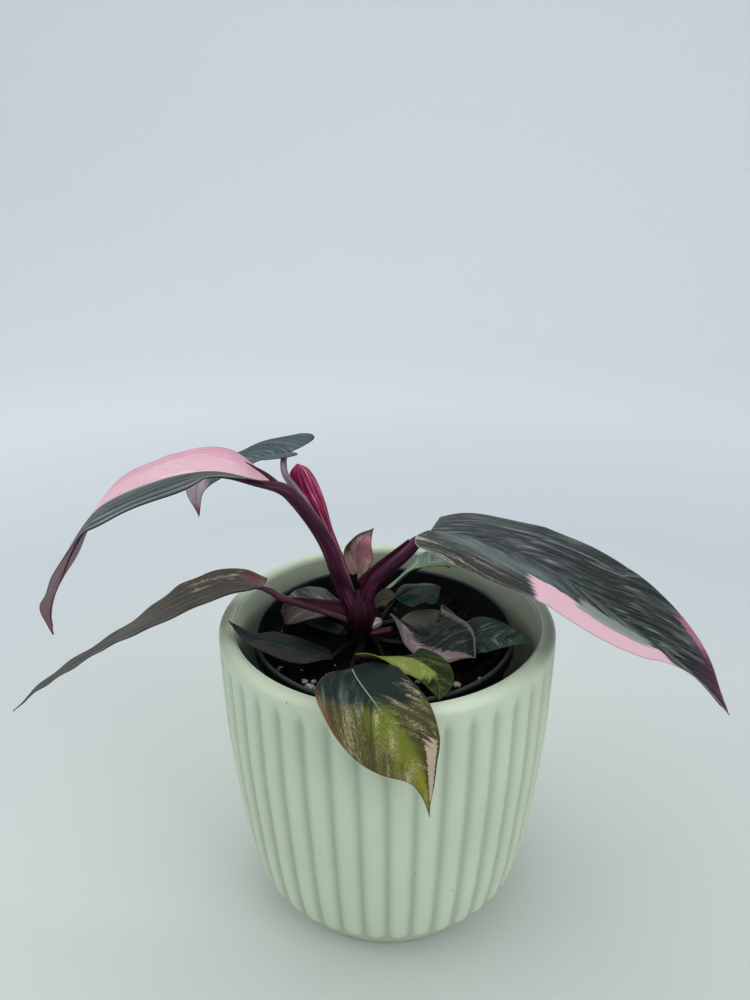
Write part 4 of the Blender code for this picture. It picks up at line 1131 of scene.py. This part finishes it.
def leaf_lines(tree, place, size, look):
    """Masks of the midrib, of the margin and of the underside; the last is also given by itself."""
    along, _, from_margin = place
    off_rib = add(tree, "SeparateXYZ", {"Vector": size}, out=1)
    off_rib = add(tree, "Math", {0: off_rib}, operation="ABSOLUTE")
    rib_code, strength, fade = look["rib"]
    rib = add(tree, "MapRange", {"Value": off_rib, 1: 0.05, 2: 0.32, 3: strength, 4: 0})
    kept = add(tree, "MapRange", {"Value": along, 1: fade - 0.06, 2: fade + 0.06, 3: 1, 4: 0})
    rib = add(tree, "Math", {0: rib, 1: kept}, operation="MULTIPLY")
    edge_code, strength = look["edge"]
    edge = add(tree, "Math", {0: from_margin}, operation="ABSOLUTE")
    edge = add(tree, "MapRange", {"Value": edge, 1: 0.1, 2: 0.45, 3: strength, 4: 0})
    under_code, strength = look["under"]
    below = add(tree, "Math", {0: from_margin, 1: -0.05}, operation="LESS_THAN")
    under = add(tree, "Math", {0: below, 1: strength}, operation="MULTIPLY")
    return [(rib, rib_code), (edge, edge_code), (under, under_code)], below


def leaf_skin(name, look):
    """
    A waxy leaf: a mottled green flesh streaked along its veins, where sectors have lost their
    green and show pink, cream or olive, under a smooth cuticle that gives a broad soft sheen.
    """
    material, tree, shader = new_material(f"{name}_cuticle", Specular_IOR_Level=0.14)
    row = add(tree, "Attribute", {}, out="Vector", attribute_name="place")
    place = [add(tree, "SeparateXYZ", {"Vector": row}, out=i) for i in range(3)]
    size = add(tree, "Attribute", {}, out="Vector", attribute_name="size")
    aside = (37 * list(LEAVES).index(name), 0, 0)
    size = add(tree, "VectorMath", {0: size, 1: aside}, operation="ADD")
    vein = add(tree, "SeparateXYZ", {"Vector": size}, out=2)

    bands = vein_noise(tree, size, (60, 16, 2.6), 4, 0.6)
    stops = tuple(zip((0.38, 0.52, 0.68), look["ground"]))
    tone = add(tree, "ValToRGB", {"Fac": bands}, stops=stops)
    fleck_code, strength, least = look["flecks"]
    fine = vein_noise(tree, size, (16, 4, 0.32), 3, 0.65)
    clumps = vein_noise(tree, size, (22, 10, 7), 1)
    fine = add(tree, "Math", {0: clumps, 1: 0.5, 2: fine}, operation="MULTIPLY_ADD")
    flecks = add(tree, "MapRange", {"Value": fine, 1: least + 0.24, 2: least + 0.4, 4: strength})
    vein_code, spacing, strength = look["veins"]
    wander = add(tree, "Math", {0: bands, 1: spacing * 0.9, 2: vein}, operation="MULTIPLY_ADD")
    swing = add(tree, "Math", {0: wander, 1: 2 * math.pi / spacing}, operation="MULTIPLY")
    swing = add(tree, "Math", {0: swing}, operation="COSINE")
    veins = add(tree, "MapRange", {"Value": swing, 1: 0.3, 2: 0.9, 4: strength})
    lines, below = leaf_lines(tree, place, size, look)
    sectors = leaf_sectors(tree, place, size, clumps, look["sectors"])
    tone = painted(tree, tone, [(flecks, fleck_code), (veins, vein_code), *sectors, *lines])

    satin = add(tree, "MapRange", {"Value": bands, 1: 0.3, 2: 0.7, 3: 0.36, 4: 0.5})
    satin = add(tree, "Math", {0: below, 1: 0.15, 2: satin}, operation="MULTIPLY_ADD")
    tree.links.new(satin, shader.inputs["Roughness"])
    raised = add(tree, "Math", {0: swing, 1: 0.25, 2: fine}, operation="MULTIPLY_ADD")
    surface(tree, shader, tone, raised, 0.4, 0.4)
    return material


def painted_sweep():
    """Pale matt paint, a little warmer and greener round the pot than far behind it, as painted light
    thrown back from the pot, and a little darker a short way out, as painted shade.
    """
    material, tree, shader = new_material("pale_painted_sweep", Roughness=0.8, IOR=1.3)
    place = add(tree, "TexCoord", {}, out="Object")
    reach = add(tree, "VectorMath", {0: place}, out="Value", operation="LENGTH")
    far = add(tree, "MapRange", {"Value": reach, 1: SWEEP_NEAR, 2: SWEEP_FAR})
    surface(tree, shader, add(tree, "ValToRGB", {"Fac": far}, stops=SWEEP_TONES))
    return material


def floor():
    """A wide pale sweep: level round the pot, and curving up far behind it on every side."""
    bend = np.radians(np.linspace(0, 90, 25))
    reach = np.array([*SWEEP_FLAT, *(SWEEP_LEVEL + SWEEP_BEND * np.sin(bend)), SWEEP_LEVEL + SWEEP_BEND])
    height = np.array([0, 0, *(SWEEP_BEND * (1 - np.cos(bend))), SWEEP_TOP])
    ring = circles(reach, height, SWEEP_SIDES)
    faces = [tuple(range(SWEEP_SIDES)), *grid_faces(len(reach), SWEEP_SIDES, closed=True)]
    mesh = bpy.data.meshes.new("floor")
    mesh.from_pydata(ring.reshape(-1, 3).tolist(), [], faces)
    mesh.shade_smooth()
    mesh.materials.append(painted_sweep())
    in_scene("floor", mesh)


def camera():
    """The photograph's view."""
    yaw, pitch, roll = (math.radians(a) for a in (VIEW_YAW, VIEW_PITCH, VIEW_ROLL))
    forward = Vector((math.sin(yaw) * math.cos(pitch), math.cos(yaw) * math.cos(pitch), math.sin(pitch)))
    side = Vector((math.cos(yaw), -math.sin(yaw), 0))
    up = side.cross(forward)
    right = side * math.cos(roll) + up * math.sin(roll)
    top = up * math.cos(roll) - side * math.sin(roll)
    data = bpy.data.cameras.new("view")
    data.lens = VIEW_LENS
    data.sensor_width = 36
    data.clip_start = 0.01
    obj = in_scene("view", data)
    turn = Matrix((right, top, -forward)).transposed().to_4x4()
    obj.matrix_world = Matrix.Translation(VIEW_PLACE) @ turn
    bpy.context.scene.camera = obj


def light():
    """Soft daylight from all round, and broad round lights that show in no picture themselves."""
    world = bpy.data.worlds.new("daylight")
    world.use_nodes = True
    background = world.node_tree.nodes["Background"]
    background.inputs["Color"].default_value = colour(DAYLIGHT)
    background.inputs["Strength"].default_value = DAYLIGHT_STRENGTH
    bpy.context.scene.world = world
    for name, (place, target, size, power) in LIGHTS.items():
        data = bpy.data.lights.new(name, "AREA")
        data.shape = "DISK"
        data.size = size
        data.energy = power
        obj = in_scene(name, data)
        obj.location = place
        obj.rotation_euler = (Vector(target) - Vector(place)).to_track_quat("-Z", "Y").to_euler()
        obj.visible_camera = False
    bpy.context.scene.view_settings.view_transform = "Standard"


def main():
    """The view, the lights and the sweep, and then the pots and the plant."""
    camera()
    light()
    floor()
    cover_pot()
    nursery_pot()
    soil()
    stem()
    bud()
    for name, leaf in LEAVES.items():
        leaf_piece(name, leaf)


main()
